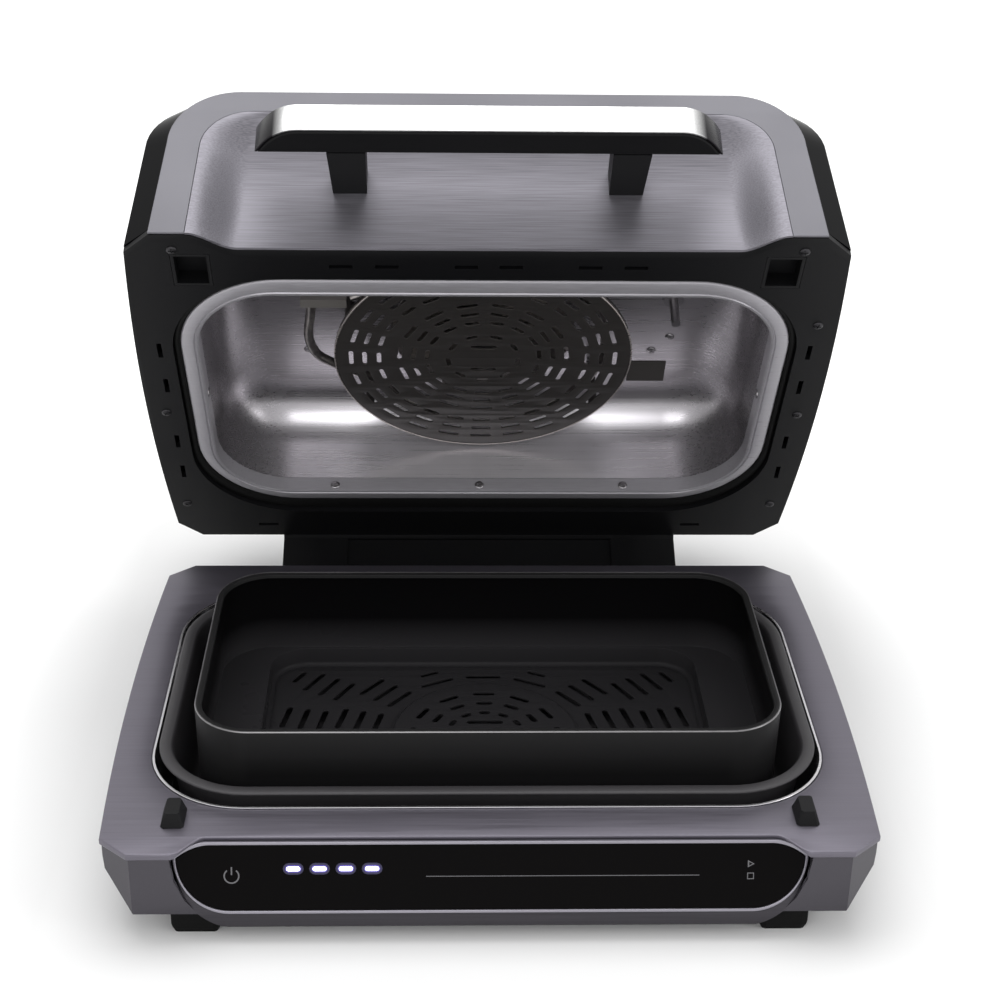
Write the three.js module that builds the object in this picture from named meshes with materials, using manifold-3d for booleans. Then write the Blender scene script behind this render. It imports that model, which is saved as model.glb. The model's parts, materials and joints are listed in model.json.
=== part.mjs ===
// An air fryer grill with its lid held open.
// A low base carries a cooking pot and a crisper basket in a steel well, and a
// touch panel in its front. The lid swings on two pins behind the base and
// carries a domed steel cavity with the heater, the fan and the fan's guard.
// Millimetres, X to the right, Y to the back, Z up. The base is drawn with the
// rear edge of its deck at y = 0 and the top of its deck at z = 0. The lid is
// drawn shut, with its rear lower edge at the origin, and is then swung open.
import * as THREE from 'three';
import { mergeVertices } from 'three/addons/utils/BufferGeometryUtils.js';
import Module from 'manifold-3d';

const wasm = await Module();
wasm.setup();

// Clearances and finish of the curves
const SEAT = 0.3;
const OVERRUN = 6;
const WELD = 0.0001;
const ARC_STEPS = 5;
const BORE_SIDES = 16;

// Base: deck, housing, floor and feet
const deck = {
  width: 430, depth: 325, thickness: 4, cornerX: 16.5, cornerY: 14.5, swell: 4.6,
  recess: 15.4, shoulderFromSide: 40, flatFromSide: 58,
};
const well = {
  fromSide: 17.8, fromBack: 36, fromFront: 41, radius: 58, lipWidth: 1.6, lipRise: 0.5,
  depth: 48, wall: 1.2, taper: 4, floorRadiusLoss: 6,
};
const housing = {
  wall: 2.6, tuck: 1, beltDrop: 20, beltInset: 2.5, skirtDrop: 41, skirtInset: 18,
  floorDrop: 51, floorInset: 21, panelStep: 24, toeBack: 38.5, stations: 6,
};
const tray = { thickness: 2.4, insetX: 30, insetBack: 8, slotLength: 36, slotWidth: 4, slotPitch: 12, slotCount: 7 };
const foot = {
  width: 28, depth: 26, fromSide: 37, fromFront: 5, fromBack: 12, ground: 58, bevel: 4,
};

// Touch panel: carrier, frame, glass, board and lamps
const panel = {
  topDrop: 1.2, leanOut: 12.2, faceDrop: 40.4, chinRound: 3.5, chinRadiusX: 37, glassRadius: 31,
  cornerDip: 7.4, cornerDipLength: 19, frameWidth: 1.7, frameRise: 0.6, frameDepth: 2.2,
  glassThickness: 2, pocketDepth: 11, pocketLedge: 5, boardThickness: 1.6, boardMargin: 9,
};
const lamp = { width: 7.6, height: 3.2, thickness: 1.5, pitch: 14.4, firstFromLeft: 66, fromTop: 15.4, count: 4 };

// Guide pins on the deck that enter the sockets of the lid
const guide = { fromSide: 38.5, fromFront: 33, width: 13, depth: 20, topWidth: 8, topDepth: 15, height: 8 };

// Pot in the well, and basket in the pot
const pot = {
  sideGap: 3.7, backGap: 12, frontGap: 9, radius: 55, rimRise: 4, rimWidth: 7.5,
  rimThickness: 2, wall: 1.6, floor: 3.8, taper: 6, heel: 8,
};
const basket = {
  endGap: 22, backGap: 19.5, frontGap: 19.5, radius: 34, rimRise: 32, rimWidth: 4.2, rimThickness: 2.4,
  wall: 1.5, slope: 6.8, step: 1.8, round: 0.8, heel: 3, floorDrop: 34, legRadius: 6, legFromEnd: 17.5,
  legFromSide: 27.5,
};
const ledge = { width: 32.5, height: 13, cornerRadius: 24 };
const disc = { fromEdge: 25.4, rise: 2.5, sides: 32 };
const floorSlot = {
  width: 3.8, longest: 24, shortest: 8, endMargin: 10, sideMargin: 9, centreRadius: 12.5, innerPitch: 11,
  firstFromDisc: 10, outerPitch: 11.7, innerRings: 3, innerCount: 12, nearRings: 3, nearCount: 14,
  farRings: 4, farCount: 18, innerShare: 0.59, outerShare: 0.74,
};

// Hinge behind the base
const hinge = {
  back: 21.6, drop: 43.9, pinRadius: 3, running: 0.35, openAngle: 60.25, shutGap: 1.7,
  earRadius: 11, earThickness: 17, earGap: 1.2, barrelRadius: 12, barrelFromSide: 97.5, pinInBarrel: 24,
};
const neck = {
  fromSide: 74, frontGap: 2.5, back: 37, reach: 52, crown: 16, wideDrop: 30, scoopFromEnd: 22.5, scoopDepth: 2,
};
const gland = { fromSide: 43, drop: 27, radius: 8, length: 11, bore: 3.6, collarRadius: 11, collarLength: 3 };

// Lid: shell, frames and front
const lid = {
  shorter: 1.5, height: 118, bevel: 16, wall: 3, sideLean: 5.5, swell: 5.2, stations: 4,
  cornerRadius: 33, faceCornerRadius: 42, faceTopLoss: 1, rearTopLoss: 6,
};
const rim = {
  thickness: 5, cornerX: 16, cornerY: 15.5, recess: 12.5, shoulderFromSide: 39, flatFromSide: 68,
  chamferDepth: 5.8, chamferRise: 1.3,
  socketWidth: 19, socketDepth: 24, socketWall: 2, socketHeight: 12,
  slotWidth: 3, slotLength: 14, sideSlotFromEdge: 10.5, sideSlotShares: [0.249, 0.359, 0.55, 0.663],
  frontSlotFromEdge: 28, frontSlotShares: [0.062, 0.282, 0.409], backSlotFromEdge: 14, backSlotFromSide: 64,
};
const band = { thickness: 1.5, sideWidth: 21.5, topWidth: 17, innerRadius: 28 };
const dish = { sheet: 1.6, blend: 29, belly: 8.8, sections: 8, sideSteps: 5, backing: 2.4 };
const vent = { width: 3, height: 16, pitch: 9, count: 15, fromTop: 34 };

// Cavity of the lid, whose mouth takes in the rim of the basket
const mouthRoom = { ends: 8.5, front: 9.5, back: 14.5, radius: 50 };
const flange = {
  sideWidth: 11.5, frontWidth: 14.5, backWidth: 10, radius: 66,
  lift: 2.6, thickness: 2, crown: 1.2, collarDepth: 13.5, collarWall: 1.2,
};
const seal = { width: 4, backWidth: 11.5, thickness: 3, bead: 0.9 };
const liner = { wall: 1, straight: 42, height: 76, shaftHole: 7, steps: 4, ceilingInset: 34 };
const guard = {
  wallGap: 7, behindMiddle: 3, thickness: 1.2, height: 40, hem: 4, slotWidth: 3, sides: 40,
  outerRadiusShares: [0.702, 0.798, 0.889], middleRadiusShares: [0.379, 0.47, 0.561],
  outerCount: 24, middleCount: 15, innerCount: 9, outerLengthShare: 0.64, middleLengthShare: 0.62,
  innerRadiusShare: 0.237, innerLengthShare: 0.5, heartRadiusShare: 0.121, heartLength: 17, heartWidth: 3.4,
  tabWidth: 21, tabLength: 24, tabBack: 15, postRadius: 3, postFromEdge: 5, postAngles: [35, 145, 200, 325],
};
const heater = {
  tube: 3.2, ringInset: 17, height: 53, legOut: 14, bendStart: 9, bendEnd: 22, bendIn: 12,
  startAngle: 150, sweep: 270, turnSteps: 18, steps: 40,
};
const fan = {
  rim: 37, plate: 1.2, plateHeight: 64, bladeHeight: 12, bladeCount: 10, bladeInner: 20, bladeSweep: 24,
  hubRadius: 10, hubHeight: 14, shaftRadius: 4, running: 0.4,
};
const motor = { radius: 30, height: 27, plateThickness: 2, plateWidth: 92, plateDepth: 70, shaftIn: 16 };
const probe = { radius: 3, length: 22, fromSide: 52, aheadOfMiddle: 17, flangeRadius: 7, flangeThickness: 1.6 };
const bracket = { width: 17, drop: 6, thickness: 8, aheadOfMiddle: 41 };

// Handle on the lid's front
const handle = {
  fromSide: 79, bend: 24, standoff: 32, depth: 17, height: 21.5, low: 46.8, bendShare: 0.6,
  coverThickness: 1.6, coverMargin: 0.6, postFromEnd: 40, postWidth: 23, postTaper: 3, postHeight: 17, postSink: 3,
};

// Turns a closed three.js geometry into a solid that can be cut and joined.
function solid(geometry) {
  const bare = geometry.clone();
  bare.deleteAttribute('normal');
  bare.deleteAttribute('uv');
  const welded = mergeVertices(bare, WELD);
  return new wasm.Manifold(new wasm.Mesh({
    numProp: 3,
    vertProperties: new Float32Array(welded.attributes.position.array),
    triVerts: new Uint32Array(welded.index.array),
  }));
}

// Turns a solid back into a three.js geometry.
function geometryOf(manifold) {
  const mesh = manifold.getMesh();
  const geometry = new THREE.BufferGeometry();
  geometry.setAttribute('position', new THREE.BufferAttribute(mesh.vertProperties, 3));
  geometry.setIndex(new THREE.BufferAttribute(mesh.triVerts, 1));
  geometry.computeVertexNormals();
  return geometry;
}

function cut(body, ...tools) {
  return tools.reduce((left, tool) => left.subtract(tool), body);
}

function join(body, ...others) {
  return others.reduce((whole, other) => whole.add(other), body);
}

function extruded(shape, depth, steps) {
  return new THREE.ExtrudeGeometry(shape, { depth, bevelEnabled: false, curveSegments: steps });
}

// A plan shape, drawn in X and Y, raised from one height to another.
function plate(shape, low, high, steps = ARC_STEPS) {
  return solid(extruded(shape, high - low, steps).translate(0, 0, low));
}

// A front shape, drawn in X and Z, running from a front to a back.
function frontPrism(shape, front, back, steps = ARC_STEPS) {
  return solid(extruded(shape, back - front, steps).rotateX(Math.PI / 2).translate(0, back, 0));
}

// A side shape, drawn in Y and Z, running from left to right.
function sidePrism(shape, left, right, steps = ARC_STEPS) {
  const turn = new THREE.Matrix4().makeBasis(
    new THREE.Vector3(0, 1, 0),
    new THREE.Vector3(0, 0, 1),
    new THREE.Vector3(1, 0, 0),
  );
  return solid(extruded(shape, right - left, steps).applyMatrix4(turn).translate(left, 0, 0));
}

function block(left, right, front, back, low, high) {
  const geometry = new THREE.BoxGeometry(right - left, back - front, high - low);
  geometry.translate((left + right) / 2, (front + back) / 2, (low + high) / 2);
  return solid(geometry);
}

function roundBar(radius, low, high, x, y, sides = BORE_SIDES) {
  const geometry = new THREE.CylinderGeometry(radius, radius, high - low, sides).rotateX(Math.PI / 2);
  return solid(geometry.translate(x, y, (low + high) / 2));
}

function crossBar(radius, left, right, y, z, sides = BORE_SIDES) {
  const geometry = new THREE.CylinderGeometry(radius, radius, right - left, sides).rotateZ(Math.PI / 2);
  return solid(geometry.translate((left + right) / 2, y, z));
}

function frontBar(radius, near, far, x, z, sides = BORE_SIDES) {
  const geometry = new THREE.CylinderGeometry(radius, radius, far - near, sides);
  return solid(geometry.translate(x, (near + far) / 2, z));
}

// Joins a list of rings, each with as many points, into one closed body. The
// two end rings are capped, or the last ring meets the first in a loop.
function loft(rings, looped = false) {
  const count = rings[0].length;
  const points = rings.flat();
  const faces = [];
  const bands = looped ? rings.length : rings.length - 1;
  for (let ring = 0; ring < bands; ring += 1) {
    const near = ring * count;
    const far = ((ring + 1) % rings.length) * count;
    for (let at = 0; at < count; at += 1) {
      const next = (at + 1) % count;
      faces.push(near + at, near + next, far + next, near + at, far + next, far + at);
    }
  }
  if (!looped) {
    for (const [ring, turned] of [[0, true], [rings.length - 1, false]]) {
      const middle = new THREE.Vector3();
      rings[ring].forEach((point) => middle.addScaledVector(point, 1 / count));
      points.push(middle);
      for (let at = 0; at < count; at += 1) {
        const here = ring * count + at;
        const next = ring * count + ((at + 1) % count);
        faces.push(points.length - 1, turned ? next : here, turned ? here : next);
      }
    }
  }
  const geometry = new THREE.BufferGeometry().setFromPoints(points);
  geometry.setIndex(signedVolume(points, faces) < 0 ? faces.reverse() : faces);
  return solid(geometry);
}

function signedVolume(points, faces) {
  let total = 0;
  for (let at = 0; at < faces.length; at += 3) {
    const [a, b, c] = [points[faces[at]], points[faces[at + 1]], points[faces[at + 2]]];
    total += a.dot(new THREE.Vector3().crossVectors(b, c)) / 6;
  }
  return total;
}

// One ring of a rounded rectangle, drawn in by an inset, at a height.
function planRing(outline, inset, z, steps = ARC_STEPS) {
  const radius = Math.max(outline.radius - inset, outline.radius / 4);
  const half = outline.half - inset - radius;
  const back = outline.back - inset - radius;
  const front = outline.front + inset + radius;
  const corners = [[half, back], [-half, back], [-half, front], [half, front]];
  return corners.flatMap(([x, y], quarter) => Array.from({ length: steps + 1 }, (_, step) => {
    const angle = (quarter + step / steps) * (Math.PI / 2);
    return new THREE.Vector3(x + radius * Math.cos(angle), y + radius * Math.sin(angle), z);
  }));
}

// A dished body whose section is a list of insets and heights.
function turnedIn(outline, section) {
  return loft(section.map(([inset, z]) => planRing(outline, inset, z)));
}

// A ring part of the way from an outer ring to an inner one, at a height.
function between(outer, inner, share, z) {
  return outer.map((point, at) => point.clone().lerp(inner[at], share).setZ(z));
}

function roundedPlan(outline, inset = 0) {
  return new THREE.Shape(planRing(outline, inset, 0).map((point) => new THREE.Vector2(point.x, point.y)));
}

// How far a swelling side stands out at a share of the way along it.
function swellAt(swell, share) {
  return 4 * swell * share * (1 - share);
}

// A plan with bevelled corners and swelling sides, whose front edge steps back
// between two shoulders.
function recessedPlan({ half, depth, cornerX, cornerY, swell, recess, shoulderHalf, flatHalf }, inset = 0) {
  const side = half - inset;
  const front = -depth + inset;
  const bendShare = 0.35;
  const bend = (shoulderHalf - flatHalf) * bendShare;
  const shape = new THREE.Shape();
  shape.moveTo(-side + cornerX, front);
  shape.lineTo(-shoulderHalf, front);
  shape.bezierCurveTo(
    -shoulderHalf + bend, front, -flatHalf - bend, front + recess, -flatHalf, front + recess,
  );
  shape.lineTo(flatHalf, front + recess);
  shape.bezierCurveTo(flatHalf + bend, front + recess, shoulderHalf - bend, front, shoulderHalf, front);
  shape.lineTo(side - cornerX, front);
  shape.lineTo(side, front + cornerY);
  shape.quadraticCurveTo(side + swell * 2, (front - inset) / 2, side, -cornerY - inset);
  shape.lineTo(side - cornerX, -inset);
  shape.lineTo(-side + cornerX, -inset);
  shape.lineTo(-side, -cornerY - inset);
  shape.quadraticCurveTo(-side - swell * 2, (front - inset) / 2, -side, front + cornerY);
  shape.closePath();
  return shape;
}

// The points of a closed shape as one ring at a height.
function shapeRing(shape, z) {
  const points = shape.getPoints(ARC_STEPS);
  if (points[0].distanceTo(points[points.length - 1]) < WELD) {
    points.pop();
  }
  return points.map((point) => new THREE.Vector3(point.x, point.y, z));
}

// A slot lying across a radius at an angle, as a plan shape.
function tangentSlot(radius, degrees, length, width) {
  const [along, across] = [length / 2, width / 2];
  const angle = THREE.MathUtils.degToRad(degrees);
  const centre = new THREE.Vector2(radius * Math.cos(angle), radius * Math.sin(angle));
  const corners = [[-along, -across], [along, -across], [along, across], [-along, across]];
  return new THREE.Shape(corners.map(([x, y]) => (
    new THREE.Vector2(x, y).rotateAround(new THREE.Vector2(), angle + Math.PI / 2).add(centre)
  )));
}

function finish(color, roughness, metalness) {
  return new THREE.MeshStandardMaterial({ color, roughness, metalness });
}

const finishes = {
  deck: () => finish(0x4a484f, 0.5, 0.3),
  housing: () => finish(0x3d3b41, 0.45, 0.1),
  gloss: () => finish(0x0b0b0d, 0.12, 0.1),
  matte: () => finish(0x141416, 0.6, 0),
  rubber: () => finish(0x0c0c0d, 0.8, 0),
  steel: () => finish(0xb9b9bd, 0.28, 1),
  brushed: () => finish(0x77757b, 0.35, 0.9),
  satin: () => finish(0xdedee0, 0.3, 0.9),
  grey: () => finish(0x8f8e95, 0.45, 0.4),
  coated: () => finish(0x171618, 0.4, 0.2),
  glass: () => finish(0x050506, 0.06, 0),
  lamp: () => finish(0xe8e6ff, 0.4, 0),
  board: () => finish(0x1d3b2a, 0.6, 0),
  dark: () => finish(0x3a3936, 0.5, 0.7),
};

function piece(name, body, material) {
  const mesh = new THREE.Mesh(geometryOf(body), material());
  mesh.name = name;
  return mesh;
}

// Plans that the pieces of the base share

const deckHalf = deck.width / 2;
const front = -deck.depth;
const deckUnder = -deck.thickness - SEAT;
const deckPlan = {
  ...deck, half: deckHalf, shoulderHalf: deckHalf - deck.shoulderFromSide, flatHalf: deckHalf - deck.flatFromSide,
};
const wellPlan = {
  half: deckHalf - well.fromSide, back: -well.fromBack, front: front + well.fromFront, radius: well.radius,
};
const potPlan = {
  half: wellPlan.half - pot.sideGap, back: wellPlan.back - pot.backGap, front: wellPlan.front + pot.frontGap,
  radius: pot.radius,
};
const basketPlan = {
  half: potPlan.half - basket.endGap, back: potPlan.back - basket.backGap, front: potPlan.front + basket.frontGap,
  radius: basket.radius,
};
const basketFoot = {
  half: basketPlan.half - basket.wall, back: basketPlan.back - basket.slope,
  front: basketPlan.front + basket.slope, radius: basket.radius - basket.wall,
};
const floorPlan = {
  half: basketPlan.half - ledge.width, back: basketFoot.back - basket.step,
  front: basketFoot.front + basket.step, radius: ledge.cornerRadius,
};

// Touch panel's face

const faceTop = -panel.topDrop;
const faceHeight = panel.faceDrop - panel.topDrop;
const faceLean = Math.atan2(panel.leanOut, faceHeight);
const faceLength = Math.hypot(panel.leanOut, faceHeight);
const faceTopY = front + deck.recess - panel.frameDepth - SEAT * 2;

// The outline of the panel: a flat top that dips at its ends, and a bowl below.
function smile(half, height, radius, dip, dipLength, inset) {
  const roundShare = 0.55;
  const side = half - inset;
  const low = -height + inset;
  const tip = -dip - inset;
  const round = radius - inset;
  const shoulder = tip + (low - tip) * roundShare;
  const shape = new THREE.Shape();
  shape.moveTo(-side, tip);
  shape.quadraticCurveTo(-side + dipLength / 2, -inset, -side + dipLength, -inset);
  shape.lineTo(side - dipLength, -inset);
  shape.quadraticCurveTo(side - dipLength / 2, -inset, side, tip);
  shape.bezierCurveTo(side, shoulder, side - round * (1 - roundShare), low, side - round, low);
  shape.lineTo(-side + round, low);
  shape.bezierCurveTo(-side + round * (1 - roundShare), low, -side, shoulder, -side, tip);
  return shape;
}

function faceShape(inset) {
  return smile(
    deckPlan.shoulderHalf, faceLength, panel.glassRadius, panel.cornerDip, panel.cornerDipLength, inset,
  );
}

// The leaning face: X stays, local Z runs up the face and local -Y looks out.
function leaningFace() {
  const group = new THREE.Group();
  group.position.set(0, faceTopY, faceTop);
  group.rotation.x = -faceLean;
  group.updateMatrixWorld(true);
  return group;
}

function onFace(body) {
  return solid(geometryOf(body).applyMatrix4(leaningFace().matrixWorld));
}

// Base

function deckPlate() {
  const body = plate(recessedPlan(deckPlan), -deck.thickness, 0);
  const ahead = onFace(frontPrism(faceShape(-SEAT), -deck.recess - OVERRUN, panel.frameDepth + SEAT));
  return cut(body, plate(roundedPlan(wellPlan), -deck.thickness - OVERRUN, OVERRUN), ahead);
}

function wellLiner() {
  const edge = SEAT;
  const lipLow = -deck.thickness / 2;
  const wallOut = well.lipWidth - well.wall + edge;
  return turnedIn(wellPlan, [
    [wallOut + well.taper + well.floorRadiusLoss, -well.depth],
    [wallOut + well.taper, -well.depth + well.floorRadiusLoss],
    [wallOut, lipLow],
    [edge, lipLow],
    [edge, well.lipRise],
    [edge + well.lipWidth, well.lipRise],
    [wallOut + well.wall + well.taper, -well.depth + well.floorRadiusLoss],
    [wallOut + well.wall + well.taper + well.floorRadiusLoss, -well.depth + well.wall],
  ]);
}

// The housing's outer or inner form: its front view at stations from the back
// to the front, as wide at each as the swelling deck.
function housingForm(wall, high, low) {
  const drops = [
    [housing.tuck, high], [housing.beltInset, -housing.beltDrop], [housing.skirtInset, -housing.skirtDrop],
    [housing.floorInset, low],
  ];
  return loft(Array.from({ length: housing.stations + 1 }, (_, at) => {
    const share = at / housing.stations;
    const half = deckHalf + swellAt(deck.swell, share) - wall;
    const side = drops.map(([inset, z]) => new THREE.Vector3(half - inset, front * share, z));
    const mirrored = side.map((point) => point.clone().setX(-point.x)).reverse();
    return [...side, ...mirrored];
  }));
}

const panelBack = front + housing.panelStep;
const toeFront = front + housing.toeBack;
const carrierHalf = deckPlan.shoulderHalf + SEAT;
const carrierTop = deckUnder - SEAT;

// The bowl-shaped outline of the body that carries the touch panel.
function carrierOutline(grow) {
  const high = housing.floorDrop + carrierTop;
  const outline = smile(carrierHalf, high, panel.chinRadiusX, 0, panel.cornerDipLength, -grow);
  return new THREE.Shape(outline.getPoints(ARC_STEPS).map((point) => point.setY(point.y + carrierTop)));
}

function baseHousing() {
  const plan = { ...deckPlan, recess: 0 };
  const bayHalf = carrierHalf + SEAT;
  const outer = housingForm(0, deckUnder, -housing.floorDrop)
    .intersect(plate(recessedPlan(plan, housing.tuck), -foot.ground, 0));
  const inner = housingForm(housing.wall, OVERRUN, -housing.floorDrop - OVERRUN)
    .intersect(plate(recessedPlan(plan, housing.tuck + housing.wall), -foot.ground - OVERRUN, OVERRUN));
  const bowl = frontPrism(carrierOutline(SEAT), front - OVERRUN, panelBack);
  const above = block(-bayHalf, bayHalf, front - OVERRUN, panelBack, carrierTop, OVERRUN);
  const wallBehind = block(
    -bayHalf - housing.wall, bayHalf + housing.wall, panelBack, panelBack + housing.wall,
    -housing.skirtDrop, deckUnder,
  );
  const corner = (side) => block(
    ...[bayHalf, bayHalf + housing.wall].map((x) => x * side).sort((a, b) => a - b),
    front + housing.tuck, panelBack + housing.wall, -housing.skirtDrop, deckUnder,
  );
  const toe = block(
    -deckPlan.half, deckPlan.half, front - OVERRUN, toeFront, -foot.ground, -housing.skirtDrop,
  );
  const skirtHalf = deckHalf - housing.skirtInset;
  const toeFloor = block(
    -skirtHalf, skirtHalf, front + housing.tuck, toeFront, -housing.skirtDrop, -housing.skirtDrop + housing.wall,
  );
  const floorHalf = deckHalf - housing.floorInset;
  const toeWall = block(
    -floorHalf, floorHalf, toeFront - housing.wall, toeFront,
    -housing.floorDrop, -housing.skirtDrop + housing.wall,
  );
  const shell = cut(join(cut(outer, inner), wallBehind, corner(1), corner(-1), toeFloor), toe, bowl, above);
  const cable = frontBar(gland.radius + SEAT, -housing.wall - OVERRUN, OVERRUN, glandX, -gland.drop);
  return cut(join(shell, toeWall), cable);
}

const trayHigh = -housing.floorDrop - SEAT;
const trayLow = trayHigh - tray.thickness;

function bottomTray() {
  const half = deckHalf - tray.insetX;
  const middle = (toeFront - tray.insetBack) / 2;
  const body = block(-half, half, toeFront, -tray.insetBack, trayLow, trayHigh);
  const slots = [];
  for (let index = 0; index < tray.slotCount; index += 1) {
    const x = (index - (tray.slotCount - 1) / 2) * tray.slotPitch;
    slots.push(block(
      x - tray.slotWidth / 2, x + tray.slotWidth / 2, middle - tray.slotLength / 2,
      middle + tray.slotLength / 2, trayLow - OVERRUN, trayHigh + OVERRUN,
    ));
  }
  return cut(body, ...slots);
}

const footX = deckHalf - foot.fromSide - foot.width / 2;

// A foot is a block with bevelled sides that narrows to the ground.
function footBlock(side, isFront) {
  const high = isFront ? -housing.skirtDrop - SEAT : trayLow - SEAT;
  const middleY = isFront ? front + foot.fromFront + foot.depth / 2 : -foot.fromBack - foot.depth / 2;
  const ring = (inset, z) => planRing({
    half: foot.width / 2, back: foot.depth / 2, front: -foot.depth / 2, radius: foot.bevel,
  }, inset, z, 2).map((point) => point.add(new THREE.Vector3(side * footX, middleY, 0)));
  return loft([
    ring(foot.bevel / 2, -foot.ground),
    ring(0, -foot.ground + foot.bevel),
    ring(0, high),
  ]);
}

// Touch panel

function panelCarrier() {
  const low = -housing.floorDrop;
  const under = -housing.skirtDrop - SEAT;
  const faceLowY = faceTopY - panel.leanOut;
  const toe = toeFront - housing.wall - SEAT;
  const side = new THREE.Shape();
  side.moveTo(faceTopY + (panel.leanOut * (carrierTop - faceTop)) / faceHeight, carrierTop);
  side.lineTo(faceLowY, -panel.faceDrop);
  side.lineTo(faceLowY, low + panel.chinRound);
  side.quadraticCurveTo(faceLowY, low, faceLowY + panel.chinRound, low);
  side.lineTo(toe, low);
  side.lineTo(toe, under);
  side.lineTo(panelBack - SEAT, under);
  side.lineTo(panelBack - SEAT, carrierTop);
  side.closePath();
  const body = sidePrism(side, -carrierHalf, carrierHalf)
    .intersect(frontPrism(carrierOutline(0), front - housing.toeBack, 0));
  const seatForFrame = frontPrism(faceShape(-SEAT), -OVERRUN, panel.frameDepth + SEAT);
  const pocket = frontPrism(faceShape(panel.frameWidth + panel.pocketLedge), -OVERRUN, panel.pocketDepth);
  return cut(body, onFace(join(seatForFrame, pocket)), footRoom(-1), footRoom(1));
}

// The room that a front foot takes beside the chin.
function footRoom(side) {
  const [left, right] = [footX - foot.width / 2 - SEAT, deckHalf].map((x) => x * side).sort((a, b) => a - b);
  return block(left, right, front + foot.fromFront - SEAT, toeFront, -foot.ground, -housing.skirtDrop - SEAT);
}

function panelFrame() {
  const outer = frontPrism(faceShape(0), -panel.frameRise, panel.frameDepth);
  return cut(outer, frontPrism(faceShape(panel.frameWidth), -OVERRUN, panel.frameDepth + OVERRUN));
}

function panelGlass() {
  return frontPrism(faceShape(panel.frameWidth + SEAT), 0, panel.glassThickness);
}

const lampBack = panel.glassThickness + SEAT + lamp.thickness;
const boardFront = lampBack + SEAT;

function controlBoard() {
  const half = deckPlan.shoulderHalf - panel.glassRadius - panel.boardMargin / 2;
  const margin = panel.frameWidth + panel.boardMargin;
  return block(
    -half, half, boardFront, boardFront + panel.boardThickness, -faceLength + margin, -margin,
  );
}

function indicatorLamp(index) {
  const x = -deckPlan.shoulderHalf + lamp.firstFromLeft + index * lamp.pitch;
  return block(
    x - lamp.width / 2, x + lamp.width / 2, lampBack - lamp.thickness, lampBack,
    -lamp.fromTop - lamp.height / 2, -lamp.fromTop + lamp.height / 2,
  );
}

const guideX = deckHalf - guide.fromSide;

function guidePin(side) {
  const pin = { half: guide.width / 2, back: guide.depth / 2, front: -guide.depth / 2, radius: guide.width / 8 };
  const ring = (shareX, shareY, z) => planRing(pin, 0, z, 1).map((point) => new THREE.Vector3(
    side * guideX + point.x * shareX, front + guide.fromFront + point.y * shareY, z,
  ));
  const narrowing = [guide.topWidth / guide.width, guide.topDepth / guide.depth];
  return loft([ring(1, 1, SEAT), ring(...narrowing, SEAT + guide.height)]);
}

// Pot and basket

const potUnder = -well.depth + well.wall + SEAT;
const potFloor = potUnder + pot.floor;

function cookingPot() {
  const wallOut = pot.rimWidth - pot.wall;
  return turnedIn(potPlan, [
    [wallOut + pot.taper + pot.heel, potUnder],
    [wallOut + pot.taper + pot.heel / 4, potUnder + pot.heel / 4],
    [wallOut + pot.taper, potUnder + pot.heel],
    [wallOut, pot.rimRise - pot.rimThickness],
    [0, pot.rimRise - pot.rimThickness],
    [0, pot.rimRise - pot.rimThickness / 3],
    [pot.rimThickness / 3, pot.rimRise],
    [pot.rimWidth, pot.rimRise],
    [pot.rimWidth + pot.wall / 2, pot.rimRise - pot.rimThickness],
    [wallOut + pot.wall + pot.taper, potUnder + pot.heel],
    [wallOut + pot.wall + pot.taper + pot.heel / 4, potFloor + pot.heel / 4],
    [wallOut + pot.wall + pot.taper + pot.heel, potFloor],
  ]);
}

const basketMiddle = (basketPlan.back + basketPlan.front) / 2;
const basketFloor = -basket.floorDrop;
const basketUnder = basketFloor - basket.wall;
const ledgeTop = basketFloor + ledge.height;

// The basket's wall drops from a rolled rim to a ledge round the sunk floor,
// wide at the two ends and narrow along the sides.
function basketPan() {
  const lipLow = basket.rimRise - basket.rimThickness;
  return loft([
    planRing(floorPlan, basket.heel, basketUnder),
    planRing(floorPlan, -basket.wall, basketUnder + basket.heel),
    planRing(floorPlan, -basket.wall, ledgeTop - basket.wall),
    planRing(basketFoot, -basket.wall, ledgeTop - basket.wall),
    planRing(basketPlan, 0, basket.rimRise - basket.round),
    planRing(basketPlan, basket.round, basket.rimRise),
    planRing(basketPlan, basket.rimWidth - basket.round, basket.rimRise),
    planRing(basketPlan, basket.rimWidth, basket.rimRise - basket.round),
    planRing(basketPlan, basket.rimWidth, lipLow),
    planRing(basketPlan, basket.wall, lipLow),
    planRing(basketFoot, 0, ledgeTop),
    planRing(floorPlan, -basket.round, ledgeTop),
    planRing(floorPlan, 0, ledgeTop - basket.round),
    planRing(floorPlan, 0, basketFloor + basket.heel),
    planRing(floorPlan, basket.heel, basketFloor),
  ]);
}

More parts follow.
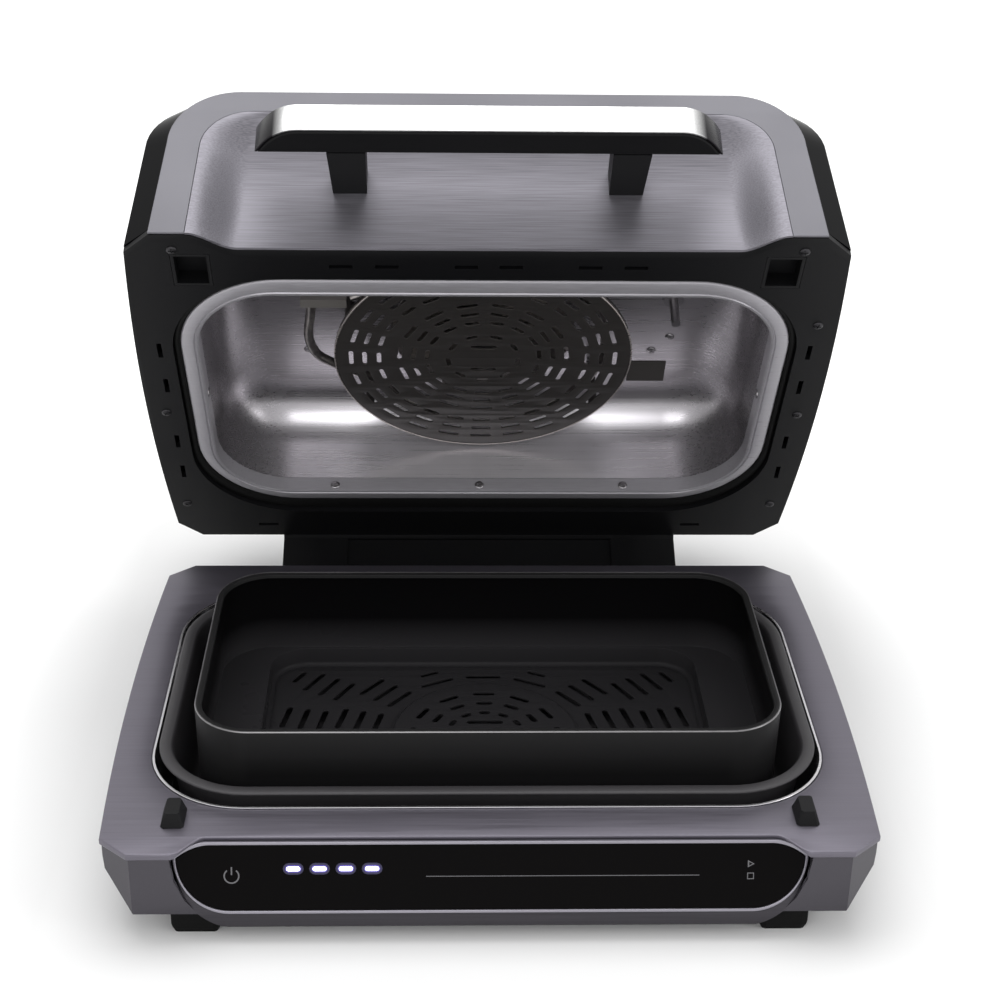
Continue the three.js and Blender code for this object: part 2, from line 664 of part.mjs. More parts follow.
// Slots lie on rings round the middle and shorten where the floor ends.
function basketSlots() {
  const halfX = floorPlan.half - floorSlot.endMargin;
  const halfY = (floorPlan.back - floorPlan.front) / 2 - floorSlot.sideMargin;
  const slots = [];
  const addRing = (radius, count, start, share) => {
    for (let index = 0; index < count; index += 1) {
      const degrees = start + (360 * index) / count;
      const [x, y] = [Math.cos, Math.sin].map((of) => Math.abs(of(THREE.MathUtils.degToRad(degrees))));
      const room = 2 * Math.min((halfX - radius * x) / y, (halfY - radius * y) / x);
      const length = Math.min(floorSlot.longest, (share * 2 * Math.PI * radius) / count, room);
      if (room > floorSlot.shortest) {
        slots.push(tangentSlot(radius, degrees, length, floorSlot.width));
      }
    }
  };
  addRing(floorSlot.centreRadius, 2, 90, floorSlot.innerShare);
  for (let ring = 1; ring <= floorSlot.innerRings; ring += 1) {
    addRing(floorSlot.centreRadius + ring * floorSlot.innerPitch, floorSlot.innerCount, 90, floorSlot.innerShare);
  }
  const first = discRadius + floorSlot.firstFromDisc;
  for (let ring = 0; ring < floorSlot.nearRings; ring += 1) {
    addRing(first + ring * floorSlot.outerPitch, floorSlot.nearCount, 90, floorSlot.outerShare);
  }
  for (let ring = 0; ring < floorSlot.farRings; ring += 1) {
    const radius = first + (ring + floorSlot.nearRings) * floorSlot.outerPitch;
    addRing(radius, floorSlot.farCount, 180 / floorSlot.farCount, floorSlot.outerShare);
  }
  return slots.map((shape) => solid(
    extruded(shape, ledge.height, 2).translate(0, basketMiddle, basketFloor - ledge.height / 2),
  ));
}

const discRadius = (floorPlan.back - floorPlan.front) / 2 - disc.fromEdge;

function discRing(radius, z) {
  return Array.from({ length: disc.sides }, (_, index) => {
    const angle = (index / disc.sides) * 2 * Math.PI;
    return new THREE.Vector3(radius * Math.cos(angle), basketMiddle + radius * Math.sin(angle), z);
  });
}

function crisperBasket() {
  const raised = loft([
    discRing(discRadius, basketUnder + basket.wall / 2),
    discRing(discRadius, basketFloor + disc.rise / 2),
    discRing(discRadius - disc.rise, basketFloor + disc.rise),
  ]);
  const legs = [];
  for (const side of [-1, 1]) {
    for (const end of [-1, 1]) {
      const y = basketMiddle + end * ((basketPlan.back - basketPlan.front) / 2 - basket.legFromSide);
      const x = side * (basketPlan.half - basket.legFromEnd);
      legs.push(roundBar(basket.legRadius, potFloor + SEAT, ledgeTop - basket.wall / 2, x, y, 12));
    }
  }
  return cut(join(basketPan(), raised, ...legs), ...basketSlots());
}

// Hinge

const barrelEnd = deckHalf - hinge.barrelFromSide;
const earInner = barrelEnd + hinge.earGap;
const earOuter = earInner + hinge.earThickness;
const glandX = -deckHalf + gland.fromSide;

function hingeEar(side) {
  const shape = new THREE.Shape();
  const wall = -housing.tuck + SEAT;
  shape.moveTo(wall, -hinge.drop - hinge.earRadius);
  shape.lineTo(hinge.back, -hinge.drop - hinge.earRadius);
  shape.absarc(hinge.back, -hinge.drop, hinge.earRadius, -Math.PI / 2, Math.PI / 2, false);
  shape.lineTo(wall, -hinge.drop + hinge.earRadius);
  shape.closePath();
  const [left, right] = [side * earInner, side * earOuter].sort((a, b) => a - b);
  const bore = crossBar(hinge.pinRadius + SEAT, left - OVERRUN, right + OVERRUN, hinge.back, -hinge.drop);
  const body = sidePrism(shape, left, right).subtract(bore);
  return body.intersect(block(left, right, wall, hinge.back + hinge.earRadius * 2, -housing.floorDrop, 0));
}

function hingePin(side) {
  const [left, right] = [side * (barrelEnd - hinge.pinInBarrel), side * earOuter].sort((a, b) => a - b);
  return crossBar(hinge.pinRadius, left, right, hinge.back, -hinge.drop);
}

function cableGland() {
  const bush = frontBar(gland.radius, -housing.wall - housing.tuck, gland.length, glandX, -gland.drop);
  const collar = frontBar(
    gland.collarRadius, -housing.tuck + SEAT, gland.collarLength, glandX, -gland.drop,
  );
  const bore = frontBar(gland.bore, -OVERRUN * 2, gland.length + OVERRUN, glandX, -gland.drop);
  return join(bush, collar).subtract(bore);
}

// The arm that joins the lid to the hinge pins, drawn in the lid's own frame.
function hingeNeck() {
  const neckHalf = deckHalf - neck.fromSide;
  const scoopHalf = barrelEnd - neck.scoopFromEnd;
  const axisY = hinge.back;
  const axisZ = -hinge.drop - hinge.shutGap;
  const low = -neck.wideDrop - hinge.shutGap;
  const near = neck.frontGap;
  const side = new THREE.Shape();
  side.moveTo(near, axisZ + hinge.barrelRadius / 2);
  side.lineTo(near, -hinge.shutGap);
  side.lineTo(SEAT, 0);
  side.lineTo(SEAT, neck.reach);
  side.lineTo(neck.crown, neck.reach);
  side.quadraticCurveTo(neck.back, neck.reach, neck.back, neck.reach / 2);
  side.lineTo(neck.back, low + hinge.barrelRadius);
  side.lineTo(axisY + hinge.barrelRadius, axisZ);
  side.closePath();
  const wide = sidePrism(side, -neckHalf, neckHalf)
    .intersect(block(-neckHalf, neckHalf, -OVERRUN, neck.back + OVERRUN, low, neck.reach));
  const slim = sidePrism(side, -barrelEnd, barrelEnd);
  const barrel = crossBar(hinge.barrelRadius, -barrelEnd, barrelEnd, axisY, axisZ);
  const bore = crossBar(hinge.pinRadius + hinge.running, -neckHalf, neckHalf, axisY, axisZ);
  const scoop = block(
    -scoopHalf, scoopHalf, -OVERRUN, near + neck.scoopDepth, low, -hinge.shutGap,
  );
  return cut(join(wide, slim, barrel), bore, scoop);
}

// Lid, drawn shut, with its rear lower edge at y = 0 and z = 0

const lidHalf = deckHalf;
const lidDepth = deck.depth - lid.shorter;
const lidFront = -lidDepth;
const lidLow = rim.thickness + SEAT;
const faceLow = rim.chamferRise + SEAT;

// One arched ring across the lid at a depth, with leaning sides and round shoulders.
function archRing(half, top, radius, y, low) {
  const narrow = half - lid.sideLean;
  const arc = (quarters, sign) => Array.from({ length: ARC_STEPS + 1 }, (_, step) => {
    const angle = (quarters - step / ARC_STEPS) * (Math.PI / 2);
    return new THREE.Vector3(
      sign * (narrow - radius) + radius * Math.cos(angle), y, top - radius + radius * Math.sin(angle),
    );
  });
  return [new THREE.Vector3(-half, y, low), ...arc(2, -1), ...arc(1, 1), new THREE.Vector3(half, y, low)];
}

// The lid's outer form, drawn in by a wall, between a rear and a front depth.
function lidForm(wall, low, frontFace, rearFace) {
  const half = lidHalf - wall;
  const top = lid.height - wall;
  const face = half - lid.bevel;
  const swelling = Array.from({ length: lid.stations + 1 }, (_, at) => {
    const share = at / lid.stations;
    const y = THREE.MathUtils.lerp(-lid.bevel, lidFront + lid.bevel, share);
    return archRing(half + swellAt(lid.swell, share), top, lid.cornerRadius, y, low);
  });
  return loft([
    archRing(face, top - lid.rearTopLoss, lid.faceCornerRadius, rearFace, low),
    ...swelling,
    archRing(face, top - lid.faceTopLoss, lid.faceCornerRadius, frontFace, low),
  ]);
}

const faceHalf = lidHalf - lid.bevel;
const dishHalf = faceHalf - band.sideWidth;
const dishTop = lid.height - lid.faceTopLoss - band.topWidth;

function dishHalfAt(z) {
  const lean = lid.sideLean * (z / dishTop);
  const above = Math.max(z - (dishTop - band.innerRadius), 0);
  const roundLoss = band.innerRadius - Math.sqrt(Math.max(band.innerRadius ** 2 - above ** 2, 0));
  return dishHalf - lean - roundLoss;
}

function dishDepthAt(z) {
  const share = Math.max(z, 0) / dishTop;
  return rim.recess * (1 - share) + swellAt(dish.belly, share);
}

// The scoop in the lid's front: sunk at its foot, hollow above it, flush at its
// top, with soft sides.
function dishScoop(grow, shift) {
  const heights = [-OVERRUN, 0];
  for (let index = 1; index <= dish.sections; index += 1) {
    heights.push(dishTop * Math.sin((index / dish.sections) * (Math.PI / 2)));
  }
  const rings = heights.map((z) => {
    const half = dishHalfAt(Math.max(z, 0)) + grow;
    const side = [];
    for (let step = 0; step <= dish.sideSteps; step += 1) {
      const share = step / dish.sideSteps;
      const ease = share * share * (3 - 2 * share);
      side.push([half - dish.blend * share, lidFront + dishDepthAt(z) * ease + shift]);
    }
    const height = z === dishTop ? z + grow : z;
    const right = side.map(([x, y]) => new THREE.Vector3(x, y, height));
    const left = side.map(([x, y]) => new THREE.Vector3(-x, y, height)).reverse();
    const ahead = lidFront - OVERRUN;
    return [
      new THREE.Vector3(half, ahead, height), ...right, ...left, new THREE.Vector3(-half, ahead, height),
    ];
  });
  return loft(rings);
}

function lidShell() {
  const face = lidFront + band.thickness + SEAT;
  const behind = dish.sheet + SEAT + dish.backing;
  const hollow = lidForm(lid.wall, lidLow - OVERRUN, face + lid.wall, -lid.wall);
  const vents = [];
  for (let index = 0; index < vent.count; index += 1) {
    const x = (index - (vent.count - 1) / 2) * vent.pitch;
    const high = lid.height - vent.fromTop;
    vents.push(block(
      x - vent.width / 2, x + vent.width / 2, -lid.wall - OVERRUN, OVERRUN, high - vent.height, high,
    ));
  }
  const room = cut(hollow, dishScoop(SEAT + dish.backing, behind));
  return cut(lidForm(0, lidLow, face, 0), room, dishScoop(SEAT, dish.sheet + SEAT), ...vents);
}

function lidBand() {
  const back = lidFront + band.thickness;
  const ring = archRing(faceHalf, lid.height - lid.faceTopLoss, lid.faceCornerRadius, back, faceLow);
  const outer = loft([ring.map((point) => point.clone().setY(lidFront)), ring]);
  const opening = dishScoop(SEAT, band.thickness + OVERRUN)
    .intersect(block(-lidHalf, lidHalf, lidFront - OVERRUN, back + OVERRUN, 0, lid.height));
  return cut(outer, opening);
}

function lidPanel() {
  const sheet = dishScoop(0, dish.sheet).subtract(dishScoop(0, 0));
  return sheet.intersect(block(-lidHalf, lidHalf, lidFront, lidFront + lid.bevel * 2, faceLow, dishTop));
}

// Cavity's mouth, its flange and seal, and the rim round them

const mouth = {
  half: basketPlan.half + mouthRoom.ends, back: basketPlan.back + mouthRoom.back,
  front: basketPlan.front - mouthRoom.front, radius: mouthRoom.radius,
};
const flangePlan = {
  half: mouth.half + flange.sideWidth, back: mouth.back + flange.backWidth,
  front: mouth.front - flange.frontWidth, radius: flange.radius,
};
const sealInner = {
  half: flangePlan.half + SEAT, back: flangePlan.back + SEAT, front: flangePlan.front - SEAT,
  radius: flange.radius + SEAT,
};
const sealOuter = {
  half: sealInner.half + seal.width, back: sealInner.back + seal.backWidth, front: sealInner.front - seal.width,
  radius: sealInner.radius + seal.width,
};
const rimPlan = {
  ...rim, half: lidHalf, depth: lidDepth - band.thickness - SEAT, swell: lid.swell,
  shoulderHalf: lidHalf - rim.shoulderFromSide, flatHalf: lidHalf - rim.flatFromSide,
};
const socketY = front + guide.fromFront;

// A block round the place where a guide pin enters the lid.
function socketBlock(side, grow, low, high) {
  const [halfX, halfY] = [rim.socketWidth / 2 + grow, rim.socketDepth / 2 + grow];
  return block(side * guideX - halfX, side * guideX + halfX, socketY - halfY, socketY + halfY, low, high);
}

function lidRim() {
  const slot = (x, y, alongX) => block(
    x - (alongX ? rim.slotLength : rim.slotWidth) / 2, x + (alongX ? rim.slotLength : rim.slotWidth) / 2,
    y - (alongX ? rim.slotWidth : rim.slotLength) / 2, y + (alongX ? rim.slotWidth : rim.slotLength) / 2,
    -OVERRUN, rim.thickness + OVERRUN,
  );
  const slots = [];
  for (const side of [-1, 1]) {
    const sideX = side * (lidHalf - rim.sideSlotFromEdge);
    rim.sideSlotShares.forEach((share) => slots.push(slot(sideX, lidFront * share, false)));
    const frontY = lidFront + rim.frontSlotFromEdge;
    rim.frontSlotShares.forEach((share) => slots.push(slot(side * lidHalf * share, frontY, true)));
    slots.push(slot(side * (lidHalf - rim.backSlotFromSide), -rim.backSlotFromEdge, true));
  }
  const drawnIn = { ...rimPlan, depth: rimPlan.depth - rim.chamferDepth };
  const body = loft([
    shapeRing(recessedPlan(drawnIn), 0),
    shapeRing(recessedPlan(rimPlan), rim.chamferRise),
    shapeRing(recessedPlan(rimPlan), rim.thickness),
  ]);
  const opening = plate(roundedPlan(sealOuter, -SEAT), -OVERRUN, rim.thickness + OVERRUN);
  const sockets = [-1, 1].map((side) => socketBlock(side, rim.socketWall + SEAT, -OVERRUN, OVERRUN * 2));
  return cut(body, opening, ...sockets, ...slots, dishScoop(SEAT, dish.sheet + SEAT));
}

function socketCup(side) {
  const outer = socketBlock(side, rim.socketWall, 0, rim.socketHeight);
  return cut(outer, socketBlock(side, 0, -OVERRUN, rim.socketHeight - rim.socketWall));
}

function lidSeal() {
  const low = flange.lift;
  const high = low + seal.thickness;
  const [outer, inner] = [planRing(sealOuter, 0, 0), planRing(sealInner, 0, 0)];
  const middleShare = 0.5;
  return loft([
    between(outer, inner, 0, low + seal.bead),
    between(outer, inner, middleShare, low),
    between(outer, inner, 1, low + seal.bead),
    between(outer, inner, 1, high),
    between(outer, inner, 0, high),
  ], true);
}

// The bright flange round the cavity's mouth, with the collar that rises from it.
function cavityFlange() {
  const [flatFromShare, flatToShare] = [0.25, 0.75];
  const outer = planRing(flangePlan, 0, 0);
  const inner = planRing(mouth, 0, 0);
  return loft([
    between(outer, inner, 0, flange.lift + flange.thickness),
    between(outer, inner, 0, flange.lift + flange.crown),
    between(outer, inner, flatFromShare, flange.lift),
    between(outer, inner, flatToShare, flange.lift),
    between(outer, inner, 1, flange.lift + flange.crown),
    planRing(mouth, 0, flange.collarDepth),
    planRing(mouth, -flange.collarWall, flange.collarDepth),
    planRing(mouth, -flange.collarWall, flange.lift + flange.thickness),
  ], true);
}

const mouthMiddle = (mouth.back + mouth.front) / 2;
const fanY = mouthMiddle + guard.behindMiddle;
const guardRadius = (mouth.back - mouth.front) / 2 - guard.wallGap;

// The domed steel liner that stands on the collar and closes the cavity.
function cavityLiner() {
  const low = flange.collarDepth + SEAT;
  const wall = liner.wall;
  const outside = [];
  const inside = [];
  for (let step = 0; step <= liner.steps; step += 1) {
    const angle = ((Math.PI / 2) * step) / liner.steps;
    const rise = (liner.height - liner.straight) * Math.sin(angle);
    const draw = liner.ceilingInset * (1 - Math.cos(angle));
    inside.push([draw, liner.straight + rise]);
    outside.push([draw - wall * Math.cos(angle), liner.straight + rise + wall * Math.sin(angle)]);
  }
  const shell = turnedIn(mouth, [...outside.reverse(), [-wall, low], [0, low], ...inside]);
  return cut(shell, roundBar(liner.shaftHole, liner.height - OVERRUN, liner.height + OVERRUN, 0, fanY));
}

// Rows of slots round the middle of the fan's guard, as tools standing on a height.
function guardSlots(low) {
  const slots = [];
  const addRing = (radius, count, length, width) => {
    for (let index = 0; index < count; index += 1) {
      const shape = tangentSlot(radius, 90 + (360 * index) / count, length, width);
      slots.push(solid(extruded(shape, OVERRUN, 2).translate(0, 0, low - OVERRUN / 2)));
    }
  };
  const addRings = (radiusShares, count, lengthShare) => radiusShares.forEach((share) => {
    const radius = share * guardRadius;
    addRing(radius, count, (lengthShare * 2 * Math.PI * radius) / count, guard.slotWidth);
  });
  addRings(guard.outerRadiusShares, guard.outerCount, guard.outerLengthShare);
  addRings(guard.middleRadiusShares, guard.middleCount, guard.middleLengthShare);
  addRings([guard.innerRadiusShare], guard.innerCount, guard.innerLengthShare);
  addRing(guard.heartRadiusShare * guardRadius, 2, guard.heartLength, guard.heartWidth);
  return slots;
}

function fanGuard() {
  const low = guard.height;
  const profile = [
    [0, low], [guardRadius - guard.thickness, low], [guardRadius, low + guard.thickness],
    [guardRadius, low + guard.hem], [guardRadius - guard.thickness, low + guard.hem],
    [guardRadius - guard.thickness, low + guard.thickness], [0, low + guard.thickness],
  ].map(([x, y]) => new THREE.Vector2(x, y));
  const sheet = solid(new THREE.LatheGeometry(profile, guard.sides).rotateX(Math.PI / 2));
  const tab = block(
    guardRadius - guard.thickness, guardRadius + guard.tabLength, guard.tabBack - guard.tabWidth / 2,
    guard.tabBack + guard.tabWidth / 2, low + guard.thickness, low + guard.thickness * 2,
  );
  const reach = guardRadius - guard.postFromEdge;
  const posts = guard.postAngles.map((degrees) => {
    const angle = THREE.MathUtils.degToRad(degrees);
    const [x, y] = [reach * Math.cos(angle), reach * Math.sin(angle)];
    return roundBar(guard.postRadius, low + guard.thickness / 2, liner.height - SEAT, x, y, 10);
  });
  return cut(join(sheet, tab, ...posts), ...guardSlots(low)).translate([0, fanY, 0]);
}

const bracketBack = mouthMiddle - bracket.aheadOfMiddle;
const legX = -guardRadius - heater.legOut;

// The heater: most of a turn over the guard, whose ends run to one bracket.
function heatingElement() {
  const z = heater.height;
  const radius = guardRadius - heater.ringInset;
  const onRing = (degrees) => {
    const angle = THREE.MathUtils.degToRad(degrees);
    return new THREE.Vector3(radius * Math.cos(angle), fanY + radius * Math.sin(angle), z);
  };
  const points = [
    new THREE.Vector3(legX, bracketBack + SEAT, z),
    new THREE.Vector3(legX, fanY + heater.bendStart, z),
    new THREE.Vector3(legX + heater.bendIn, fanY + heater.bendEnd, z),
  ];
  for (let step = 0; step <= heater.turnSteps; step += 1) {
    points.push(onRing(heater.startAngle - (heater.sweep * step) / heater.turnSteps));
  }
  points.push(new THREE.Vector3(bracketRight + heater.tube, bracketBack - bracket.thickness / 2, z));
  const section = new THREE.Shape();
  section.absarc(0, 0, heater.tube, 0, 2 * Math.PI, false);
  return solid(new THREE.ExtrudeGeometry(section, {
    steps: heater.steps, curveSegments: 4, bevelEnabled: false,
    extrudePath: new THREE.CatmullRomCurve3(points, false, 'centripetal'),
  }));
}

const bracketRight = legX + heater.tube * 2 + bracket.width;

function heaterBracket() {
  return block(
    legX - heater.tube * 2, bracketRight, bracketBack - bracket.thickness, bracketBack,
    heater.height - bracket.drop, liner.height - SEAT,
  );
}

function fanImpeller() {
  const radius = guardRadius - fan.rim;
  const low = fan.plateHeight;
  const back = roundBar(radius, low, low + fan.plate, 0, 0, 40);
  const hub = roundBar(fan.hubRadius, low - fan.hubHeight, low + fan.plate, 0, 0);
  const blades = [];
  for (let index = 0; index < fan.bladeCount; index += 1) {
    const blade = new THREE.BoxGeometry(radius - fan.bladeInner, fan.plate, fan.bladeHeight);
    blade.rotateZ(THREE.MathUtils.degToRad(fan.bladeSweep));
    blade.translate((radius + fan.bladeInner) / 2, 0, low - fan.bladeHeight / 2 + fan.plate / 2);
    blade.rotateZ((2 * Math.PI * index) / fan.bladeCount);
    blades.push(solid(blade));
  }
  const bore = roundBar(fan.shaftRadius + SEAT, low - fan.hubHeight - OVERRUN, low + OVERRUN, 0, 0);
  return cut(join(back, hub, ...blades), bore).translate([0, fanY, 0]);
}

const plateLow = liner.height + liner.wall + SEAT;
const motorLow = plateLow + motor.plateThickness + SEAT;

function fanShaft() {
  return roundBar(fan.shaftRadius, fan.plateHeight - fan.hubHeight, motorLow + motor.shaftIn, 0, fanY);
}

function motorPlate() {
  const body = block(
    -motor.plateWidth / 2, motor.plateWidth / 2, fanY - motor.plateDepth / 2, fanY + motor.plateDepth / 2,
    plateLow, plateLow + motor.plateThickness,
  );
  return cut(body, roundBar(liner.shaftHole, plateLow - OVERRUN, plateLow + OVERRUN, 0, fanY));
}

function fanMotor() {
  const can = roundBar(motor.radius, motorLow, motorLow + motor.height, 0, fanY, 32);
  const reach = motorLow + motor.shaftIn + fan.running;
  return cut(can, roundBar(fan.shaftRadius + fan.running, motorLow - OVERRUN, reach, 0, fanY));
}

function heatProbe() {
  const top = liner.height - SEAT;
  const [x, y] = [mouth.half - probe.fromSide, mouthMiddle - probe.aheadOfMiddle];
  const stem = roundBar(probe.radius, top - probe.length, top, x, y, 12);
  return join(stem, roundBar(probe.flangeRadius, top - probe.flangeThickness, top, x, y, 16));
}

// Handle

const handleHalf = deckHalf - handle.fromSide;
const handleBack = lidFront - handle.standoff + rim.recess;
const handleFront = handleBack - handle.depth;

function handlePlan(grow) {
  const half = handleHalf + grow;
  const straight = handleHalf - handle.bend;
  const turn = half - handle.depth * handle.bendShare;
  const shape = new THREE.Shape();
  shape.moveTo(-half, handleBack);
  shape.quadraticCurveTo(-turn, handleFront - grow, -straight, handleFront - grow);
  shape.lineTo(straight, handleFront - grow);
  shape.quadraticCurveTo(turn, handleFront - grow, half, handleBack);
  shape.closePath();
  return shape;
}

function handleBar() {
  return plate(handlePlan(0), handle.low, handle.low + handle.height, 8);
}

function handleCover() {
  const low = handle.low + handle.coverMargin;
  const high = handle.low + handle.height - handle.coverMargin;
  const outer = plate(handlePlan(handle.coverThickness + SEAT), low, high, 8);
  return cut(outer, plate(handlePlan(SEAT), low - OVERRUN, high + OVERRUN, 8));
}

function handlePost(side) {
  const near = handleBack + SEAT;
  const far = lidFront + dishDepthAt(handle.low + handle.postHeight / 2);
  const outer = handleHalf - handle.postFromEnd;
  const ring = (taper, y) => {
    const [left, right] = [outer - handle.postWidth, outer - taper];
    return [[left, 0], [right, 0], [right, handle.postHeight], [left, handle.postHeight]]
      .map(([x, rise]) => new THREE.Vector3(side * x, y, handle.low + rise));
  };
  const body = loft([ring(0, near), ring(handle.postTaper, far + handle.postSink * 2)]);
  return cut(body, dishBacking());
}

// What lies behind the front panel's face, as a tool that seats the posts on it.
function dishBacking() {
  const room = block(
    -lidHalf, lidHalf, lidFront - OVERRUN, lidFront + lid.bevel * 2, -OVERRUN * 2, lid.height,
  );
  return cut(room, dishScoop(0, -SEAT));
}

// Assembly

function fryer() {
  const machine = new THREE.Group();
  const base = new THREE.Group();
  base.add(piece('deck_plate', deckPlate(), finishes.deck));
  base.add(piece('well_liner', wellLiner(), finishes.steel));
  base.add(piece('base_housing', baseHousing(), finishes.housing));
  base.add(piece('bottom_tray', bottomTray(), finishes.matte));
  base.add(piece('panel_carrier', panelCarrier(), finishes.housing));
  base.add(piece('cable_gland', cableGland(), finishes.rubber));
  for (const [side, word] of [[-1, 'left'], [1, 'right']]) {
    base.add(piece(`foot_front_${word}`, footBlock(side, true), finishes.rubber));
    base.add(piece(`foot_rear_${word}`, footBlock(side, false), finishes.rubber));
    base.add(piece(`guide_pin_${word}`, guidePin(side), finishes.matte));
    base.add(piece(`hinge_ear_${word}`, hingeEar(side), finishes.matte));
    base.add(piece(`hinge_pin_${word}`, hingePin(side), finishes.steel));
  }
  const face = leaningFace();
  face.add(piece('panel_frame', panelFrame(), finishes.grey));
  face.add(piece('panel_glass', panelGlass(), finishes.glass));
  face.add(piece('control_board', controlBoard(), finishes.board));
  for (let index = 0; index < lamp.count; index += 1) {
    face.add(piece(`indicator_lamp_${index + 1}`, indicatorLamp(index), finishes.lamp));
  }
  base.add(face);
  base.add(piece('cooking_pot', cookingPot(), finishes.coated));
  base.add(piece('crisper_basket', crisperBasket(), finishes.coated));

  const swing = new THREE.Group();
  swing.position.set(0, hinge.back, -hinge.drop);
  swing.rotation.x = -THREE.MathUtils.degToRad(hinge.openAngle);
  const cover = new THREE.Group();
  cover.position.set(0, -hinge.back, hinge.drop + hinge.shutGap);
  cover.add(piece('hinge_neck', hingeNeck(), finishes.matte));
  cover.add(piece('lid_shell', lidShell(), finishes.gloss));
  cover.add(piece('lid_band', lidBand(), finishes.grey));
  cover.add(piece('lid_panel', lidPanel(), finishes.brushed));
  cover.add(piece('lid_rim', lidRim(), finishes.matte));
  cover.add(piece('socket_cup_left', socketCup(-1), finishes.matte));
  cover.add(piece('socket_cup_right', socketCup(1), finishes.matte));
  cover.add(piece('lid_seal', lidSeal(), finishes.rubber));
  cover.add(piece('cavity_flange', cavityFlange(), finishes.steel));
  cover.add(piece('cavity_liner', cavityLiner(), finishes.brushed));
  cover.add(piece('fan_guard', fanGuard(), finishes.dark));
  cover.add(piece('heating_element', heatingElement(), finishes.dark));
  cover.add(piece('heater_terminal', heaterBracket(), finishes.steel));
  cover.add(piece('heat_probe', heatProbe(), finishes.steel));
  cover.add(piece('fan_impeller', fanImpeller(), finishes.steel));
  cover.add(piece('fan_shaft', fanShaft(), finishes.steel));
  cover.add(piece('motor_plate', motorPlate(), finishes.steel));
  cover.add(piece('fan_motor', fanMotor(), finishes.dark));
  cover.add(piece('handle_bar', handleBar(), finishes.matte));
  cover.add(piece('handle_cover', handleCover(), finishes.satin));
  cover.add(piece('handle_post_left', handlePost(-1), finishes.matte));
  cover.add(piece('handle_post_right', handlePost(1), finishes.matte));
  swing.add(cover);
  machine.add(base, swing);
  return machine;
}

// Stands the machine on the ground with its overall middle over the origin.
function centred(machine) {
  const box = new THREE.Box3().setFromObject(machine, true);
  const middle = box.getCenter(new THREE.Vector3());
  machine.position.set(-middle.x, -middle.y, -box.min.z);
  return machine;
}

const part = new THREE.Group();
part.add(centred(fryer()));

export default part;
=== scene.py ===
import bpy
import bmesh
import json
from math import atan2, cos, hypot, pi, radians, sin, sqrt
from types import SimpleNamespace as Sizes
from mathutils import Matrix, Vector
from mathutils.geometry import interpolate_bezier


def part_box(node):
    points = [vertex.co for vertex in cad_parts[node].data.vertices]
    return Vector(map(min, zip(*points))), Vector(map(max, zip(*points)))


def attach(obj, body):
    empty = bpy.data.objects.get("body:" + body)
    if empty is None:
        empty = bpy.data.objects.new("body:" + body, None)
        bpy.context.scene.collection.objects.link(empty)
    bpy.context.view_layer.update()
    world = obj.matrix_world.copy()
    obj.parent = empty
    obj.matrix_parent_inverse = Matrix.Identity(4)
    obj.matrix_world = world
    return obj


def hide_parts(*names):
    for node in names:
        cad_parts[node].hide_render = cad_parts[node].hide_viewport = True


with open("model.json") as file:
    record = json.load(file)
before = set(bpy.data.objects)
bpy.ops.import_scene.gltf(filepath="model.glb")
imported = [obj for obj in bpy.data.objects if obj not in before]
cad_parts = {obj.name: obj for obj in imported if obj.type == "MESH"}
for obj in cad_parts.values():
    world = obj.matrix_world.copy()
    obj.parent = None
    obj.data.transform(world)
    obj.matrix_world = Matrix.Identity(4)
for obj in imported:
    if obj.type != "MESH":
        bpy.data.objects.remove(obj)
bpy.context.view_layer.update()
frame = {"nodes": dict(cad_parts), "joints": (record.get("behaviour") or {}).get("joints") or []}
nodes = frame["nodes"]

# Sizes are in millimetres, in the part's own drawing: X to the right, Y to the
# back and Z up, with the rear edge of the deck at y = 0 and its top at z = 0.
# The lid is drawn shut, with its rear lower edge at the origin, and the LID
# matrix swings it open.
MM = 0.001
SEAT = 0.3
OVERRUN = 6
OPEN = radians(60.25)
SHUT_GAP = 1.7
CORNER_STEPS = 14
CURVE_STEPS = 20

deck = Sizes(half=215, depth=325, thickness=4, corner_x=16.5, corner_y=14.5, swell=4.6,
             recess=15.4, shoulder_half=175, flat_half=157)
well = Sizes(half=197.2, back=-36, front=-284, radius=58)
well_wall = Sizes(lip_width=1.6, lip_rise=0.5, depth=48, wall=1.2, taper=4, floor_round=6)
pot = Sizes(half=193.5, back=-48, front=-275, radius=55)
pot_wall = Sizes(rim_rise=4, rim_width=7.5, rim_thickness=2, wall=1.6, floor=3.8, taper=6, heel=8)
basket = Sizes(half=171.5, back=-67.5, front=-255.5, radius=34)
basket_wall = Sizes(rim_rise=32, rim_width=4.2, rim_thickness=2.4, wall=1.5, slope=6.8, step=1.8,
                    floor_drop=34, heel=3, round=0.8, leg_radius=6, leg_from_end=17.5, leg_from_side=27.5)
ledge = Sizes(width=32.5, height=13, radius=24)
disc = Sizes(from_edge=25.4, rise=2.5)
floor_slot = Sizes(width=3.8, longest=24, shortest=8, end_margin=10, side_margin=9, centre_radius=12.5,
                   inner_pitch=11, first=10, outer_pitch=11.7, inner_share=0.59, outer_share=0.74)
panel = Sizes(top_drop=1.2, lean_out=12.2, face_drop=40.4, chin_round=3.5, chin_radius=37, radius=31,
              dip=7.4, dip_length=19, frame_width=1.7, frame_rise=0.6, frame_depth=2.2, glass=2,
              floor_drop=51, step=24, skirt_drop=41, pocket_ledge=5, pocket_depth=11)
housing = Sizes(wall=2.6, toe_back=38.5, foot_inner=150, foot_front=5, ground=58)
lamp = Sizes(first=-109, y=-15.4, pitch=14.4, count=4)
lid = Sizes(half=215, depth=323.5, height=118, bevel=16, wall=3, side_lean=5.5, swell=5.2,
            corner_radius=33, face_radius=42, face_loss=1, rear_loss=6)
